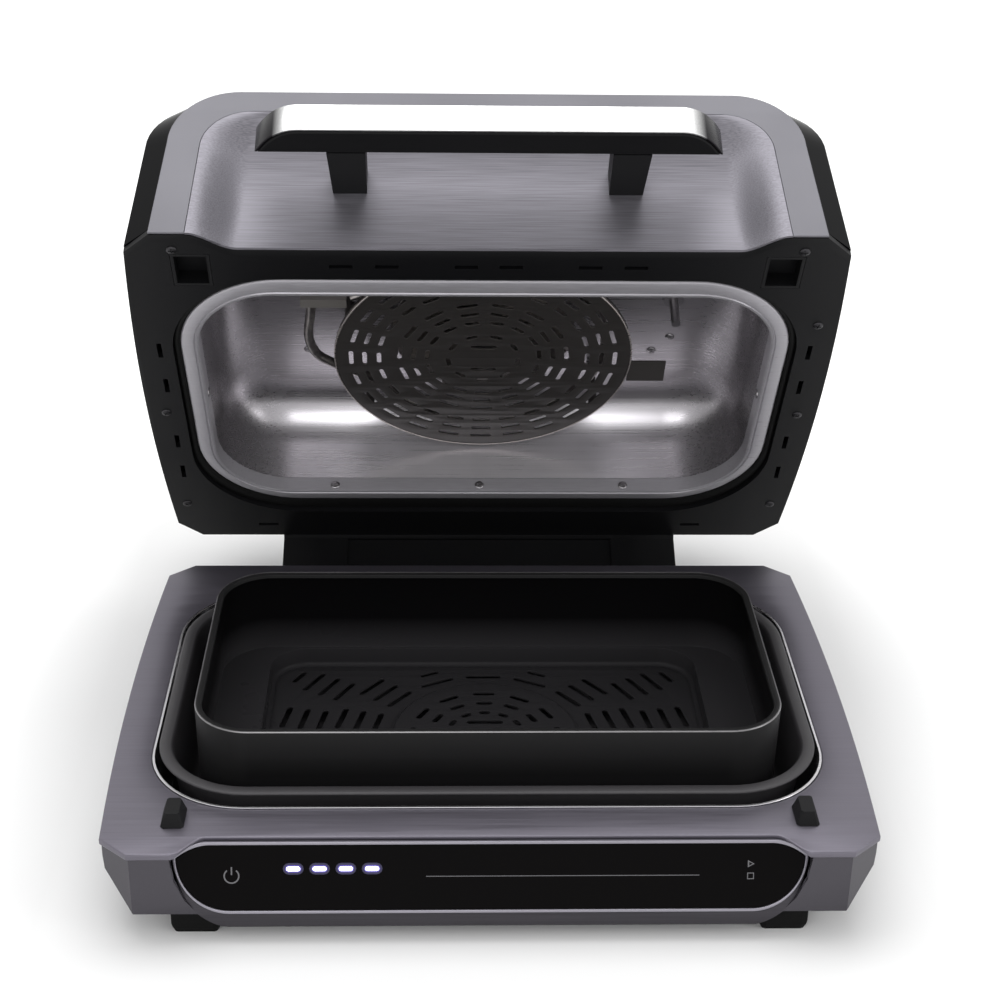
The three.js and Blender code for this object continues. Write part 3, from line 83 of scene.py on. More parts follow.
rim = Sizes(half=215, depth=321.7, thickness=5, corner_x=16, corner_y=15.5, swell=5.2, recess=12.5,
            shoulder_half=176, flat_half=147)
rim_cut = Sizes(chamfer_depth=5.8, chamfer_rise=1.3, socket_width=19, socket_depth=24, socket_wall=2,
                slot_width=3, slot_length=14, side_from_edge=10.5, side_shares=(0.249, 0.359, 0.55, 0.663),
                front_from_edge=28, front_shares=(0.062, 0.282, 0.409), back_from_edge=14, back_from_side=64)
guide = Sizes(x=176.5, from_front=33)
band = Sizes(thickness=1.5, side_width=21.5, top_width=17, inner_radius=28)
dish = Sizes(sheet=1.6, blend=29, belly=8.8, backing=2.4)
mouth = Sizes(half=180, back=-53, front=-265, radius=50)
flange = Sizes(half=191.5, back=-43, front=-279.5, radius=66)
flange_edge = Sizes(lift=2.6, thickness=2, groove=0.7, collar_depth=13.5, collar_wall=1.2)
seal = Sizes(width=4, back_width=11.5, thickness=3, bead=0.9)
liner = Sizes(wall=1, straight=42, height=76, inset=34, shaft_hole=7)
guard = Sizes(radius=99, centre=-156, thickness=1.2, height=40, hem=4, slot_width=3, tab_width=21,
              tab_length=24, tab_back=15, heart_share=0.121, heart_length=17, heart_width=3.4,
              post_radius=3, post_from_edge=5, post_angles=(35, 145, 200, 325), sides=128)
# Rows of slots in the guard: share of its radius, count, and share of the row's length
GUARD_ROWS = ((0.702, 24, 0.64), (0.798, 24, 0.64), (0.889, 24, 0.64),
              (0.379, 15, 0.62), (0.47, 15, 0.62), (0.561, 15, 0.62), (0.237, 9, 0.5))
heater = Sizes(tube=3.2, inset=17, height=53, leg_x=-113, bend_start=9, bend_end=22, bend_in=12,
               start=150, sweep=270, bracket_back=-200, bracket_right=-89.6, bracket_thickness=8)
vent = Sizes(width=3, height=16, pitch=9, count=15, from_top=34)
handle = Sizes(half=136, straight=112, standoff=32, depth=17, height=21.5, low=46.8, bend=0.6,
               cover=1.6, margin=0.6)
screw = Sizes(radius=3.2, rise=1.1, cross=0.7)

# The part's own axes in the frame
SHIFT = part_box("deck_plate")[1] * Vector((0, 1, 1))
HINGE = Vector(next(j for j in frame["joints"] if j["name"] == "lid_hinge")["pos_m"])
BASE = Matrix.Translation(SHIFT) @ Matrix.Scale(MM, 4)
LID = (Matrix.Translation(HINGE) @ Matrix.Rotation(-OPEN, 4, "X") @ Matrix.Translation(-HINGE)
       @ Matrix.Translation((0, 0, SHUT_GAP * MM)) @ BASE)


def placed(name, data):
    """A new object in the scene."""
    made = bpy.data.objects.new(name, data)
    bpy.context.scene.collection.objects.link(made)
    return made


def camera():
    focal_px, centre_x, centre_y = 1875.37, 492.06, 458.76
    image, film = 1000, 36
    pitch, yaw, roll = radians(25.45), radians(1.83), radians(0.89)
    place = BASE @ Vector((-30.08, -1151.25, 630.61))
    ahead = Vector((sin(yaw) * cos(pitch), cos(yaw) * cos(pitch), -sin(pitch)))
    right = ahead.cross(Vector((0, 0, 1))).normalized()
    up = right.cross(ahead)
    side = right * cos(roll) + up * sin(roll)
    above = -right * sin(roll) + up * cos(roll)
    data = bpy.data.cameras.new("camera")
    data.sensor_width = film
    data.lens = focal_px / image * film
    data.shift_x = (image / 2 - centre_x) / image
    data.shift_y = (centre_y - image / 2) / image
    data.clip_start, data.clip_end = 0.05, 50
    eye = placed("camera", data)
    eye.matrix_world = Matrix.Translation(place) @ Matrix((side, above, -ahead)).transposed().to_4x4()
    bpy.context.scene.camera = eye


camera()


# Curves

def shares(steps):
    return [step / steps for step in range(steps + 1)]


def polar(reach, turn, centre=(0, 0)):
    return Vector((centre[0] + reach * cos(turn), centre[1] + reach * sin(turn)))


def mirrored(points):
    """The points on the other side of the middle, in reverse."""
    return [Vector((-point[0], *point[1:])) for point in reversed(points)]


def bezier(*knots):
    """Points along one cubic, its first point left out."""
    a, b, c, d = (Vector((*knot, 0)) for knot in knots)
    return [p.xy for p in interpolate_bezier(a, b, c, d, CURVE_STEPS + 1)[1:]]


def quadratic(a, b, c):
    a, b, c = Vector(a), Vector(b), Vector(c)
    return bezier(a, a.lerp(b, 2 / 3), c.lerp(b, 2 / 3), c)


def recessed_plan(plan):
    """Bevelled corners, swelling sides, and a front that steps back between two shoulders."""
    bend = (plan.shoulder_half - plan.flat_half) * 0.35
    side, front, sunk = plan.half, -plan.depth, -plan.depth + plan.recess
    shoulder, flat, x, y = plan.shoulder_half, plan.flat_half, plan.half - plan.corner_x, plan.corner_y
    ahead = [(flat, sunk), *bezier((flat, sunk), (flat + bend, sunk), (shoulder - bend, front), (shoulder, front))]
    ahead.append((x, front))
    aside = [(side, front + y), *quadratic((side, front + y), (side + 2 * plan.swell, front / 2), (side, -y)), (x, 0)]
    return mirrored(ahead) + ahead + aside + mirrored(aside)


def smile(half, height, radius, dip, inset):
    """The touch panel's outline: a flat top that dips at its ends, and a bowl below."""
    share, dipped = 0.55, panel.dip_length
    side, low, tip, turn = half - inset, -height + inset, -dip - inset, radius - inset
    shoulder = tip + (low - tip) * share
    upper = [(side - dipped, -inset), *quadratic((side - dipped, -inset), (side - dipped / 2, -inset), (side, tip))]
    lower = bezier((side, tip), (side, shoulder), (side - turn * (1 - share), low), (side - turn, low))
    return mirrored(upper) + upper + lower + mirrored(lower)


def slot_outline(radius, degrees, length, width, centre=(0, 0)):
    """A slot with round ends, lying across a radius at an angle."""
    reach, end, turn = (length - width) / 2, width / 2, radians(degrees)
    points = []
    for side, start in ((1, -90), (-1, 90)):
        for step in range(7):
            point = polar(end, radians(start + 30 * step), (side * reach, 0))
            point.rotate(Matrix.Rotation(turn + pi / 2, 2))
            points.append(point + polar(radius, turn, centre))
    return points


def slot_row(radius, count, start, length, width, centre):
    return [slot_outline(radius, start + 360 * i / count, length, width, centre) for i in range(count)]


def circle(radius, centre=(0, 0), sides=96):
    return [polar(radius, 2 * pi * i / sides, centre) for i in range(sides)]


def rectangle(x0, x1, y0, y1):
    return [(x0, y0), (x1, y0), (x1, y1), (x0, y1)]


def swell_at(swell, share):
    return 4 * swell * share * (1 - share)


# Rings and closed forms, as (points, faces)

def plan_ring(outline, inset, z):
    """A ring of a rounded rectangle, drawn in by an inset, at a height."""
    radius = max(outline.radius - inset, outline.radius / 4)
    half = outline.half - inset - radius
    back, front = outline.back - inset - radius, outline.front + inset + radius
    corners = ((half, back), (-half, back), (-half, front), (half, front))
    return [Vector((*polar(radius, (quarter + share) * pi / 2, corner), z))
            for quarter, corner in enumerate(corners) for share in shares(CORNER_STEPS)]


def plan_rings(outline, *steps):
    return [plan_ring(outline, inset, z) for inset, z in steps]


def heel_rings(outline, inset, z, run, rise, steps):
    """Rings up a rounded heel, whose run and rise are how far it goes out and up."""
    turns = [share * pi / 2 for share in shares(steps)]
    return plan_rings(outline, *((inset + run * (1 - sin(t)), z + rise * (1 - cos(t))) for t in turns))


def between(outer, inner, share, z):
    return [Vector((*a.lerp(b, share).xy, z)) for a, b in zip(outer, inner)]


def grown(outline, by, back=None):
    return Sizes(half=outline.half + by, back=outline.back + (by if back is None else back),
                 front=outline.front - by, radius=outline.radius + by)


def loft(rings, looped=False, caps=True):
    """Joins rings that each have as many points."""
    count = len(rings[0])
    points = [point for ring in rings for point in ring]
    faces = []
    for at in range(len(rings) if looped else len(rings) - 1):
        near, far = at * count, (at + 1) % len(rings) * count
        faces += [(near + i, near + (i + 1) % count, far + (i + 1) % count, far + i) for i in range(count)]
    if caps and not looped:
        faces += [range(count)[::-1], range(len(points) - count, len(points))]
    return points, faces


def lathed(profile, centre=(0, 0), sides=96, looped=True):
    """Circles joined along a profile of (radius, height)."""
    return loft([[Vector((*p, z)) for p in circle(radius, centre, sides)] for radius, z in profile], looped)


def sheet_of(rows):
    """Joins open rows of points."""
    count = len(rows[0])
    points = [point for row in rows for point in row]
    faces = [(r * count + i, r * count + i + 1, (r + 1) * count + i + 1, (r + 1) * count + i)
             for r in range(len(rows) - 1) for i in range(count - 1)]
    return points, faces


def prism(outline, low, high, axes="XYZ"):
    """A closed outline pushed from low to high; axes names where its own axes go."""
    order = [axes.index(axis) for axis in "XYZ"]
    return loft([[[(*point, depth)[i] for i in order] for point in outline] for depth in (low, high)])


def block(x0, x1, y0, y1, z0, z1):
    return prism(rectangle(x0, x1, y0, y1), z0, z1)


# Objects

def mesh_of(name, parts, matrix):
    """One object from several (points, faces), turned right side out."""
    points, faces = [], []
    for part_points, part_faces in parts:
        faces += [tuple(i + len(points) for i in face) for face in part_faces]
        points += [matrix @ Vector(point) for point in part_points]
    mesh = bpy.data.meshes.new(name)
    mesh.from_pydata(points, [], faces)
    form = bmesh.new()
    form.from_mesh(mesh)
    bmesh.ops.recalc_face_normals(form, faces=form.faces)
    form.to_mesh(mesh)
    form.free()
    return placed(name, mesh)


def tool(matrix, *parts):
    return mesh_of("tool", parts, matrix)


def removed(*objects):
    for made in objects:
        bpy.data.objects.remove(made, do_unlink=True)


def final_mesh(made):
    """The mesh of an object with its modifiers, or of a curve."""
    bpy.context.view_layer.update()
    return bpy.data.meshes.new_from_object(made.evaluated_get(bpy.context.evaluated_depsgraph_get()))


def baked(made):
    mesh = final_mesh(made)
    made.modifiers.clear()
    made.data = mesh
    return made


def from_curve(name, curve, matrix):
    drawn = placed(name + "_drawn", curve)
    mesh = final_mesh(drawn)
    removed(drawn)
    mesh.transform(matrix)
    mesh.name = name
    return placed(name, mesh)


def carved(made, *tools, operation="DIFFERENCE"):
    """Takes closed tools out of a closed object, or keeps what they share."""
    for cutter in tools:
        change = made.modifiers.new("carve", "BOOLEAN")
        change.operation, change.object, change.solver = operation, cutter, "EXACT"
    baked(made)
    removed(*tools)
    return made


def flat_plate(name, outline, holes, thickness, edge, matrix, top=0):
    """A plate with holes and rounded edges, drawn flat; top is the height of its upper face."""
    curve = bpy.data.curves.new(name, "CURVE")
    curve.dimensions, curve.fill_mode = "2D", "BOTH"
    curve.extrude, curve.bevel_depth = (thickness / 2 - edge) * MM, edge * MM
    curve.bevel_resolution, curve.offset = 2, -edge * MM
    for line in [outline, *holes]:
        spline = curve.splines.new("POLY")
        spline.points.add(len(line) - 1)
        for knot, point in zip(spline.points, line):
            knot.co = (point[0] * MM, point[1] * MM, 0, 1)
        spline.use_cyclic_u = True
    return from_curve(name, curve, matrix @ Matrix.Translation((0, 0, top - thickness / 2)) @ Matrix.Scale(1 / MM, 4))


def joined(first, *others):
    """One object from several whose meshes are already in place."""
    form = bmesh.new()
    for made in (first, *others):
        form.from_mesh(made.data)
    bmesh.ops.remove_doubles(form, verts=form.verts, dist=1e-6)
    form.to_mesh(first.data)
    form.free()
    removed(*others)
    return first


def rounded(made, width, angle, segments):
    rounding = made.modifiers.new("rounding", "BEVEL")
    rounding.width, rounding.segments = width * MM, segments
    rounding.limit_method, rounding.angle_limit = "ANGLE", radians(angle)
    made.modifiers.new("shading", "WEIGHTED_NORMAL").keep_sharp = True


def piece(made, body, material, slot, *replaced, angle=35, width=0, segments=2):
    """Finishes a piece: smooth with sharp edges kept, rounded edges, material and body; slot is not used."""
    made.data.shade_smooth()
    made.data.set_sharp_from_angle(angle=radians(angle))
    if width:
        rounded(made, width, angle, segments)
    made.data.materials.append(material)
    if replaced:
        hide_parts(*replaced)
    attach(made, body)


def dress(material, width, *names, angle=35):
    """CAD nodes that keep their shape: their material, and rounded edges."""
    for made in (nodes[name] for name in names):
        made.data.materials.clear()
        made.data.materials.append(material)
        rounded(made, width, angle, 2)


# Materials

def add(tree, kind, inputs, output=0, **settings):
    """One output of a new shader node; its inputs are values, or outputs of other nodes."""
    made = tree.nodes.new("ShaderNode" + kind)
    for name, value in settings.items():
        setattr(made, name, value)
    for name, value in inputs.items():
        if isinstance(value, bpy.types.NodeSocket):
            tree.links.new(value, made.inputs[name])
        else:
            made.inputs[name].default_value = value
    return made.outputs[output]


def noise(tree, stretch, detail=3):
    """Noise in the object's own coordinates; stretch is its changes per metre, evenly or along X, Y and Z."""
    place = add(tree, "TexCoord", {}, "Object")
    stretch = stretch if isinstance(stretch, tuple) else (stretch, stretch, stretch)
    place = add(tree, "Mapping", {"Vector": place, "Scale": stretch})
    return add(tree, "TexNoise", {"Vector": place, "Scale": 1, "Detail": detail}, "Fac")


def spread(tree, source, low, high, near=0.3, far=0.7):
    """Spreads a factor between two values."""
    span = {"Value": source, "From Min": near, "From Max": far, "To Min": low, "To Max": high}
    return add(tree, "MapRange", span)


def painted(tree, main, source, first, second):
    """Paints a finish with a mix of two colours, of which the first may be another node's output."""
    first = first if isinstance(first, bpy.types.NodeSocket) else (*first, 1)
    mixed = add(tree, "Mix", {"Factor": source, "A": first, "B": (*second, 1)}, "Result", data_type="RGBA")
    tree.links.new(mixed, main["Base Color"])


def bumped(tree, main, source, strength, distance=0.0002):
    bump = add(tree, "Bump", {"Strength": strength, "Distance": distance, "Height": source})
    tree.links.new(bump, main["Normal"])


def shader_of(name, colour, roughness, metallic=0, shine=0.5):
    material = bpy.data.materials.new(name)
    material.use_nodes = True
    main = material.node_tree.nodes["Principled BSDF"].inputs
    main["Base Color"].default_value = (*colour, 1)
    main["Roughness"].default_value = roughness
    main["Metallic"].default_value = metallic
    main["Specular IOR Level"].default_value = shine
    return material, material.node_tree, main


def grained(name, colour, roughness, metallic=0, grain=900, depth=0.2, shine=0.5, wear_and_highlight=0.004):
    """Moulded or painted: fine grain, soft unevenness of gloss, slightly paler edges that are partly wear and partly a
    painted highlight.
    """
    material, tree, main = shader_of(name, colour, roughness, metallic, shine)
    bumped(tree, main, noise(tree, grain, 2), depth)
    uneven = noise(tree, 9, 4)
    tree.links.new(spread(tree, uneven, roughness * 0.88, roughness * 1.12), main["Roughness"])
    # Paler convex edges: partly wear, partly a painted highlight
    edge_wear_and_highlight = spread(tree, add(tree, "NewGeometry", {}, "Pointiness"), 0, 1, 0.52, 0.6)
    painted(tree, main, edge_wear_and_highlight, colour, [min(c * 1.3 + wear_and_highlight, 1) for c in colour])
    return material


def brushed(name, colour, roughness, stretch, metallic=1, contrast=0.14, depth=0.12):
    """Metal with fine brush lines; the stretch is coarse along the lines."""
    material, tree, main = shader_of(name, colour, roughness, metallic)
    lines = noise(tree, stretch, 6)
    darker, lighter = ([min(c * share, 1) for c in colour] for share in (1 - contrast, 1 + contrast))
    painted(tree, main, spread(tree, lines, 0, 1), darker, lighter)
    fine = spread(tree, lines, roughness * 0.8, roughness * 1.15)
    wide = spread(tree, noise(tree, 6), -0.03, 0.03)
    tree.links.new(add(tree, "Math", {0: fine, 1: wide}), main["Roughness"])
    bumped(tree, main, lines, depth, 0.0001)
    return material


def glossy_glass(name, colour):
    material, tree, main = shader_of(name, colour, 0.06, shine=0.04)
    tree.links.new(spread(tree, noise(tree, 12), 0.045, 0.09), main["Roughness"])
    painted(tree, main, noise(tree, 3, 2), colour, [c * 1.6 for c in colour])
    return material


def lit(name, colour, glow, strength):
    """A printed or lit mark, with a fine grain and a glow; on lamps the glow is their own light, on print it is a faint
    painted glow.
    """
    material, tree, main = shader_of(name, colour, 0.4)
    painted(tree, main, noise(tree, 400, 2), [c * 0.85 for c in colour], colour)
    main["Emission Color"].default_value = (*glow, 1)
    main["Emission Strength"].default_value = strength
    return material


def paint_light_and_shade_along(axis, near, far, colour, material, swung=0):
    """Paints light and shade into a finish as a second colour along an axis, alike on both sides of its middle; swung
    shuts the lid.
    """
    tree = material.node_tree
    main = tree.nodes["Principled BSDF"].inputs
    place = add(tree, "TexCoord", {}, "Object")
    place = add(tree, "VectorRotate", {"Vector": place, "Center": HINGE, "Angle": swung}, rotation_type="X_AXIS")
    along = add(tree, "SeparateXYZ", {"Vector": place}, axis)
    away = add(tree, "Math", {0: along}, operation="ABSOLUTE")
    painted(tree, main, spread(tree, away, 0, 1, near, far), main["Base Color"].links[0].from_socket, colour)


ALONG_X = (14, 2600, 2600)
deck_paint = brushed("deck_paint", (0.143, 0.134, 0.161), 0.4, (20, 1800, 1800), 0.7, 0.1, 0.06)
housing_paint = grained("housing_paint", (0.05, 0.047, 0.055), 0.2, 0.62, depth=0.08, shine=0.4)
chin_paint = brushed("chin_paint", (0.042, 0.039, 0.046), 0.42, ALONG_X, 0.6, 0.2)
gloss_black = grained("gloss_black", (0.0013, 0.0013, 0.0016), 0.13, grain=300, depth=0.03, shine=0.02, wear_and_highlight=0)
matte_black = grained("matte_black", (0.004, 0.004, 0.0045), 0.48, grain=1600, depth=0.35, shine=0.12)
rim_black = grained("rim_black", (0.004, 0.004, 0.0046), 0.42, grain=1600, depth=0.25, shine=0.14)
rubber = grained("rubber", (0.003, 0.003, 0.003), 0.75, grain=700, depth=0.4, shine=0.05)
seal_rubber = grained("seal_rubber", (0.004, 0.004, 0.004), 0.6, grain=900, depth=0.3, shine=0.15)
bright_steel = brushed("bright_steel", (0.66, 0.65, 0.67), 0.24, ALONG_X, 1, 0.05, 0.02)
flange_steel = brushed("flange_steel", (0.34, 0.33, 0.355), 0.36, (90, 1200, 1200), 0.45, 0.06, 0.03)
# Painted shade: the liner is painted darker towards its ends and on its ceiling
liner_steel = brushed("liner_steel", (0.86, 0.835, 0.88), 0.31, (9, 900, 900), 0.8, 0.04, 0.002)
paint_light_and_shade_along("X", 0.09, 0.185, (0.13, 0.12, 0.128), liner_steel)
ceiling = SHIFT.z + (SHUT_GAP + liner.height) * MM
paint_light_and_shade_along("Z", ceiling - 0.016, ceiling - 0.002, (0.34, 0.325, 0.345), liner_steel, OPEN)
# Painted light: the basket is painted paler at its floor, and its edges get a painted highlight
pan_coat = grained("pan_coat", (0.0036, 0.0034, 0.0038), 0.3, grain=2200, shine=0.06, wear_and_highlight=0.05)
paint_light_and_shade_along("Z", 0.058, 0.042, (0.026, 0.025, 0.027), pan_coat)
pot_coat = grained("pot_coat", (0.038, 0.036, 0.039), 0.45, 0.2, grain=2200, depth=0.3, shine=0.4)
pan_rim_highlight = brushed("pan_rim_highlight", (0.22, 0.215, 0.22), 0.35, (200, 200, 2000), 0.9, 0.08, 0.05)
front_grey = grained("front_grey", (0.116, 0.114, 0.128), 0.45, 0.5, grain=1400, depth=0.12)
front_brushed = brushed("front_brushed", (0.172, 0.166, 0.187), 0.46, (26, 1900, 1900), 0.7, 0.3)
bezel_grey = brushed("bezel_grey", (0.26, 0.25, 0.285), 0.34, ALONG_X, 0.8, 0.08, 0.05)
guard_paint = grained("guard_paint", (0.043, 0.0395, 0.038), 0.42, 0.5, grain=1100, shine=0.3)
guard_edge = brushed("guard_edge", (0.4, 0.37, 0.35), 0.3, (300, 300, 2000), 1, 0.08, 0.05)
heater_steel = brushed("heater_steel", (0.33, 0.31, 0.3), 0.38, 300, 1, 0.25, 0.15)
cast_metal = grained("cast_metal", (0.18, 0.17, 0.16), 0.5, 0.7, grain=500, depth=0.3)
panel_black = glossy_glass("panel_black", (0.0012, 0.0009, 0.001))
board_green = grained("board_green", (0.02, 0.09, 0.05), 0.5)
lamp_body = lit("lamp_body", (0.8, 0.8, 0.95), (0.75, 0.7, 1.0), 1.0)
lamp_glow = lit("lamp_glow", (0.9, 0.9, 1.0), (0.86, 0.84, 1.0), 3.2)
# The halo and haze round each lamp are a painted glow on the glass
lamp_halo = lit("lamp_halo", (0.02, 0.015, 0.1), (0.16, 0.12, 0.62), 0.6)
lamp_haze = lit("lamp_haze", (0.004, 0.003, 0.012), (0.16, 0.12, 0.62), 0.08)
# The print glows faintly: a painted glow
printed = lit("printed", (0.1, 0.098, 0.105), (0.5, 0.5, 0.54), 0.05)
screw_steel = brushed("screw_steel", (0.3, 0.29, 0.3), 0.35, 700, 1, 0.1, 0.05)
screw_dark = brushed("screw_dark", (0.035, 0.034, 0.037), 0.4, 700, 0.8, 0.1, 0.05)
# Painted shade: the handle's strip is painted darker where it turns back at its ends
handle_satin = brushed("handle_satin", (0.84, 0.84, 0.84), 0.26, ALONG_X, 0.9, 0.035, 0.04)
paint_light_and_shade_along("X", 0.119, 0.127, (0.018, 0.017, 0.019), handle_satin)


# Base

POT_LOW = -well_wall.depth + well_wall.wall + SEAT
POT_FLOOR = POT_LOW + pot_wall.floor


def deck_plate():
    made = flat_plate("deck_top", recessed_plan(deck), [plan_ring(well, 0, 0)], deck.thickness, 0.7, BASE)
    carved(made, tool(FACE, prism(face_outline(-SEAT), -panel.frame_depth - SEAT, deck.recess + 8)))
    piece(made, "base", deck_paint, "deck_grey", "deck_plate")


def well_liner():
    w, run = well_wall, well_wall.floor_round
    out, lip_low, soft = w.lip_width - w.wall + SEAT, -deck.thickness / 2, w.lip_rise / 2
    rings = heel_rings(well, out + w.taper, -w.depth, run, run, 5)
    rings += plan_rings(well, (out, lip_low), (SEAT, lip_low), (SEAT, w.lip_rise - soft), (SEAT + soft, w.lip_rise),
                        (SEAT + w.lip_width - soft, w.lip_rise), (SEAT + w.lip_width, w.lip_rise - soft))
    rings += heel_rings(well, out + w.wall + w.taper, -w.depth + w.wall, run, run, 5)[::-1]
    piece(mesh_of("well_steel", [loft(rings)], BASE), "base", bright_steel, "steel_bright", "well_liner")


def cooking_pot():
    w = pot_wall
    out, half, under = w.rim_width - w.wall, w.rim_thickness / 2, w.rim_rise - w.rim_thickness
    rings = heel_rings(pot, out + w.taper, POT_LOW, w.heel, w.heel, 6)
    rings += plan_rings(pot, (out, under), (half, under))
    for step in range(5):
        turn = radians(-60 + 37.5 * step)
        rings.append(plan_ring(pot, half * (1 - cos(turn)), w.rim_rise - half + half * sin(turn)))
    rings += plan_rings(pot, (w.rim_width - 1, w.rim_rise), (w.rim_width - 0.3, w.rim_rise - 0.3),
                        (w.rim_width + w.wall / 2, under))
    rings += heel_rings(pot, out + w.wall + w.taper, POT_FLOOR, w.heel, w.heel, 6)[::-1]
    piece(mesh_of("pot", [loft(rings)], BASE), "cooking_pot", pot_coat, "pan_coat", "cooking_pot", angle=50)


foot = Sizes(half=basket.half - basket_wall.wall, back=basket.back - basket_wall.slope,
             front=basket.front + basket_wall.slope, radius=basket.radius - basket_wall.wall)
floor_plan = Sizes(half=basket.half - ledge.width, back=foot.back - basket_wall.step,
                   front=foot.front + basket_wall.step, radius=ledge.radius)
basket_middle = (0, (basket.back + basket.front) / 2)
disc_radius = (floor_plan.back - floor_plan.front) / 2 - disc.from_edge


def basket_slots():
    """Slots on rings round the middle, shortened where the floor ends: (on the disc, round it)."""
    s = floor_slot
    half_x = floor_plan.half - s.end_margin
    half_y = (floor_plan.back - floor_plan.front) / 2 - s.side_margin
    inner, outer = [], []
    rows = [(inner, s.centre_radius + ring * s.inner_pitch, 12 if ring else 2, 90, s.inner_share) for ring in range(4)]
    for ring in range(7):
        count, start = (14, 90) if ring < 3 else (18, 10)
        rows.append((outer, disc_radius + s.first + ring * s.outer_pitch, count, start, s.outer_share))
    for into, radius, count, start, share in rows:
        for index in range(count):
            degrees = start + 360 * index / count
            x, y = abs(cos(radians(degrees))), abs(sin(radians(degrees)))
            room = 2 * min((half_x - radius * x) / max(y, 1e-6), (half_y - radius * y) / max(x, 1e-6))
            length = min(s.longest, share * 2 * pi * radius / count, room)
            if room > s.shortest:
                into.append(slot_outline(radius, degrees, length, s.width, basket_middle))
    return inner, outer


def crisper_basket():
    w, r = basket_wall, basket_wall.round
    floor, top, lip = -w.floor_drop, w.rim_rise, w.rim_rise - w.rim_thickness
    under, ledge_top = floor - w.wall, floor + ledge.height
    ledge_low = ledge_top - w.wall
    rings = [plan_ring(floor_plan, w.heel + 0.6, under)]
    rings += heel_rings(floor_plan, -w.wall, under, w.heel + w.wall, w.heel, 5)
    rings += plan_rings(floor_plan, (-w.wall, ledge_low))
    rings += plan_rings(foot, (-w.wall, ledge_low), (-w.wall, ledge_low + 0.5))
    rings += plan_rings(basket, (0, top - r), (r * 0.3, top - r * 0.3), (r, top), (w.rim_width - r, top),
                        (w.rim_width - r * 0.3, top - r * 0.3), (w.rim_width, top - r), (w.rim_width, lip),
                        (w.wall + 0.4, lip), (w.wall, lip - 0.6))
    rings += [between(plan_ring(basket, w.wall, 0), plan_ring(foot, 0, 0), share, lip - (lip - ledge_top) * share)
              for share in (0.5, 0.9, 0.97)]
    rings += plan_rings(foot, (0.4, ledge_top + 0.2), (1.2, ledge_top))
    rings += plan_rings(floor_plan, (-r, ledge_top), (-r * 0.3, ledge_top - r * 0.3), (0, ledge_top - r))
    rings += heel_rings(floor_plan, 0, floor, w.heel, w.heel, 6)[::-1]
    wall = mesh_of("basket", [loft(rings, caps=False)], BASE)
    inner, outer = basket_slots()
    outer.append(circle(disc_radius - 1, basket_middle))
    base = flat_plate("basket_floor", plan_ring(floor_plan, w.heel, 0), outer, w.wall, 0.3, BASE, floor)
    edge, height = disc_radius - disc.rise, floor + disc.rise
    raised = flat_plate("basket_disc", circle(edge, basket_middle), inner, w.wall, 0.3, BASE, height)
    profile = [(disc_radius + 0.2, under), (disc_radius + 0.2, floor), (disc_radius - 0.6, floor + 0.4),
               (edge + 0.5, height - 0.3), (edge - 0.4, height), (edge - 0.4, height - w.wall), (edge, under)]
    step = mesh_of("basket_step", [lathed(profile, basket_middle)], BASE)
    profile = [(w.leg_radius - 1, POT_FLOOR + SEAT), (w.leg_radius, POT_FLOOR + SEAT + 1),
               (w.leg_radius, ledge_low + 0.2)]
    reach = (basket.half - w.leg_from_end, (basket.back - basket.front) / 2 - w.leg_from_side)
    legs = [lathed(profile, (side * reach[0], basket_middle[1] + end * reach[1]), 24, False)
            for side in (-1, 1) for end in (-1, 1)]
    made = joined(wall, base, raised, step, mesh_of("basket_legs", legs, BASE))
    piece(made, "crisper_basket", pan_coat, "pan_coat", "crisper_basket", angle=40)
    # A pale metal strip along the rim's top: a painted highlight
    line = plan_rings(basket, (0.05, top - 0.5), (0.35, top + 0.12), (0.9, top + 0.12), (1.0, top - 0.4))
    piece(mesh_of("basket_rim_highlight", [loft(line, looped=True)], BASE), "crisper_basket", pan_rim_highlight, "steel_bright")


# Touch panel

face_height = panel.face_drop - panel.top_drop
face_length = hypot(panel.lean_out, face_height)
face_top_y = -deck.depth + deck.recess - panel.frame_depth - 2 * SEAT
# On the face, X stays, local Y runs up the face and local Z looks out of it
FACE = (BASE @ Matrix.Translation((0, face_top_y, -panel.top_drop))
        @ Matrix.Rotation(pi / 2 - atan2(panel.lean_out, face_height), 4, "X"))


def face_outline(inset):
    return smile(deck.shoulder_half, face_length, panel.radius, panel.dip, inset)


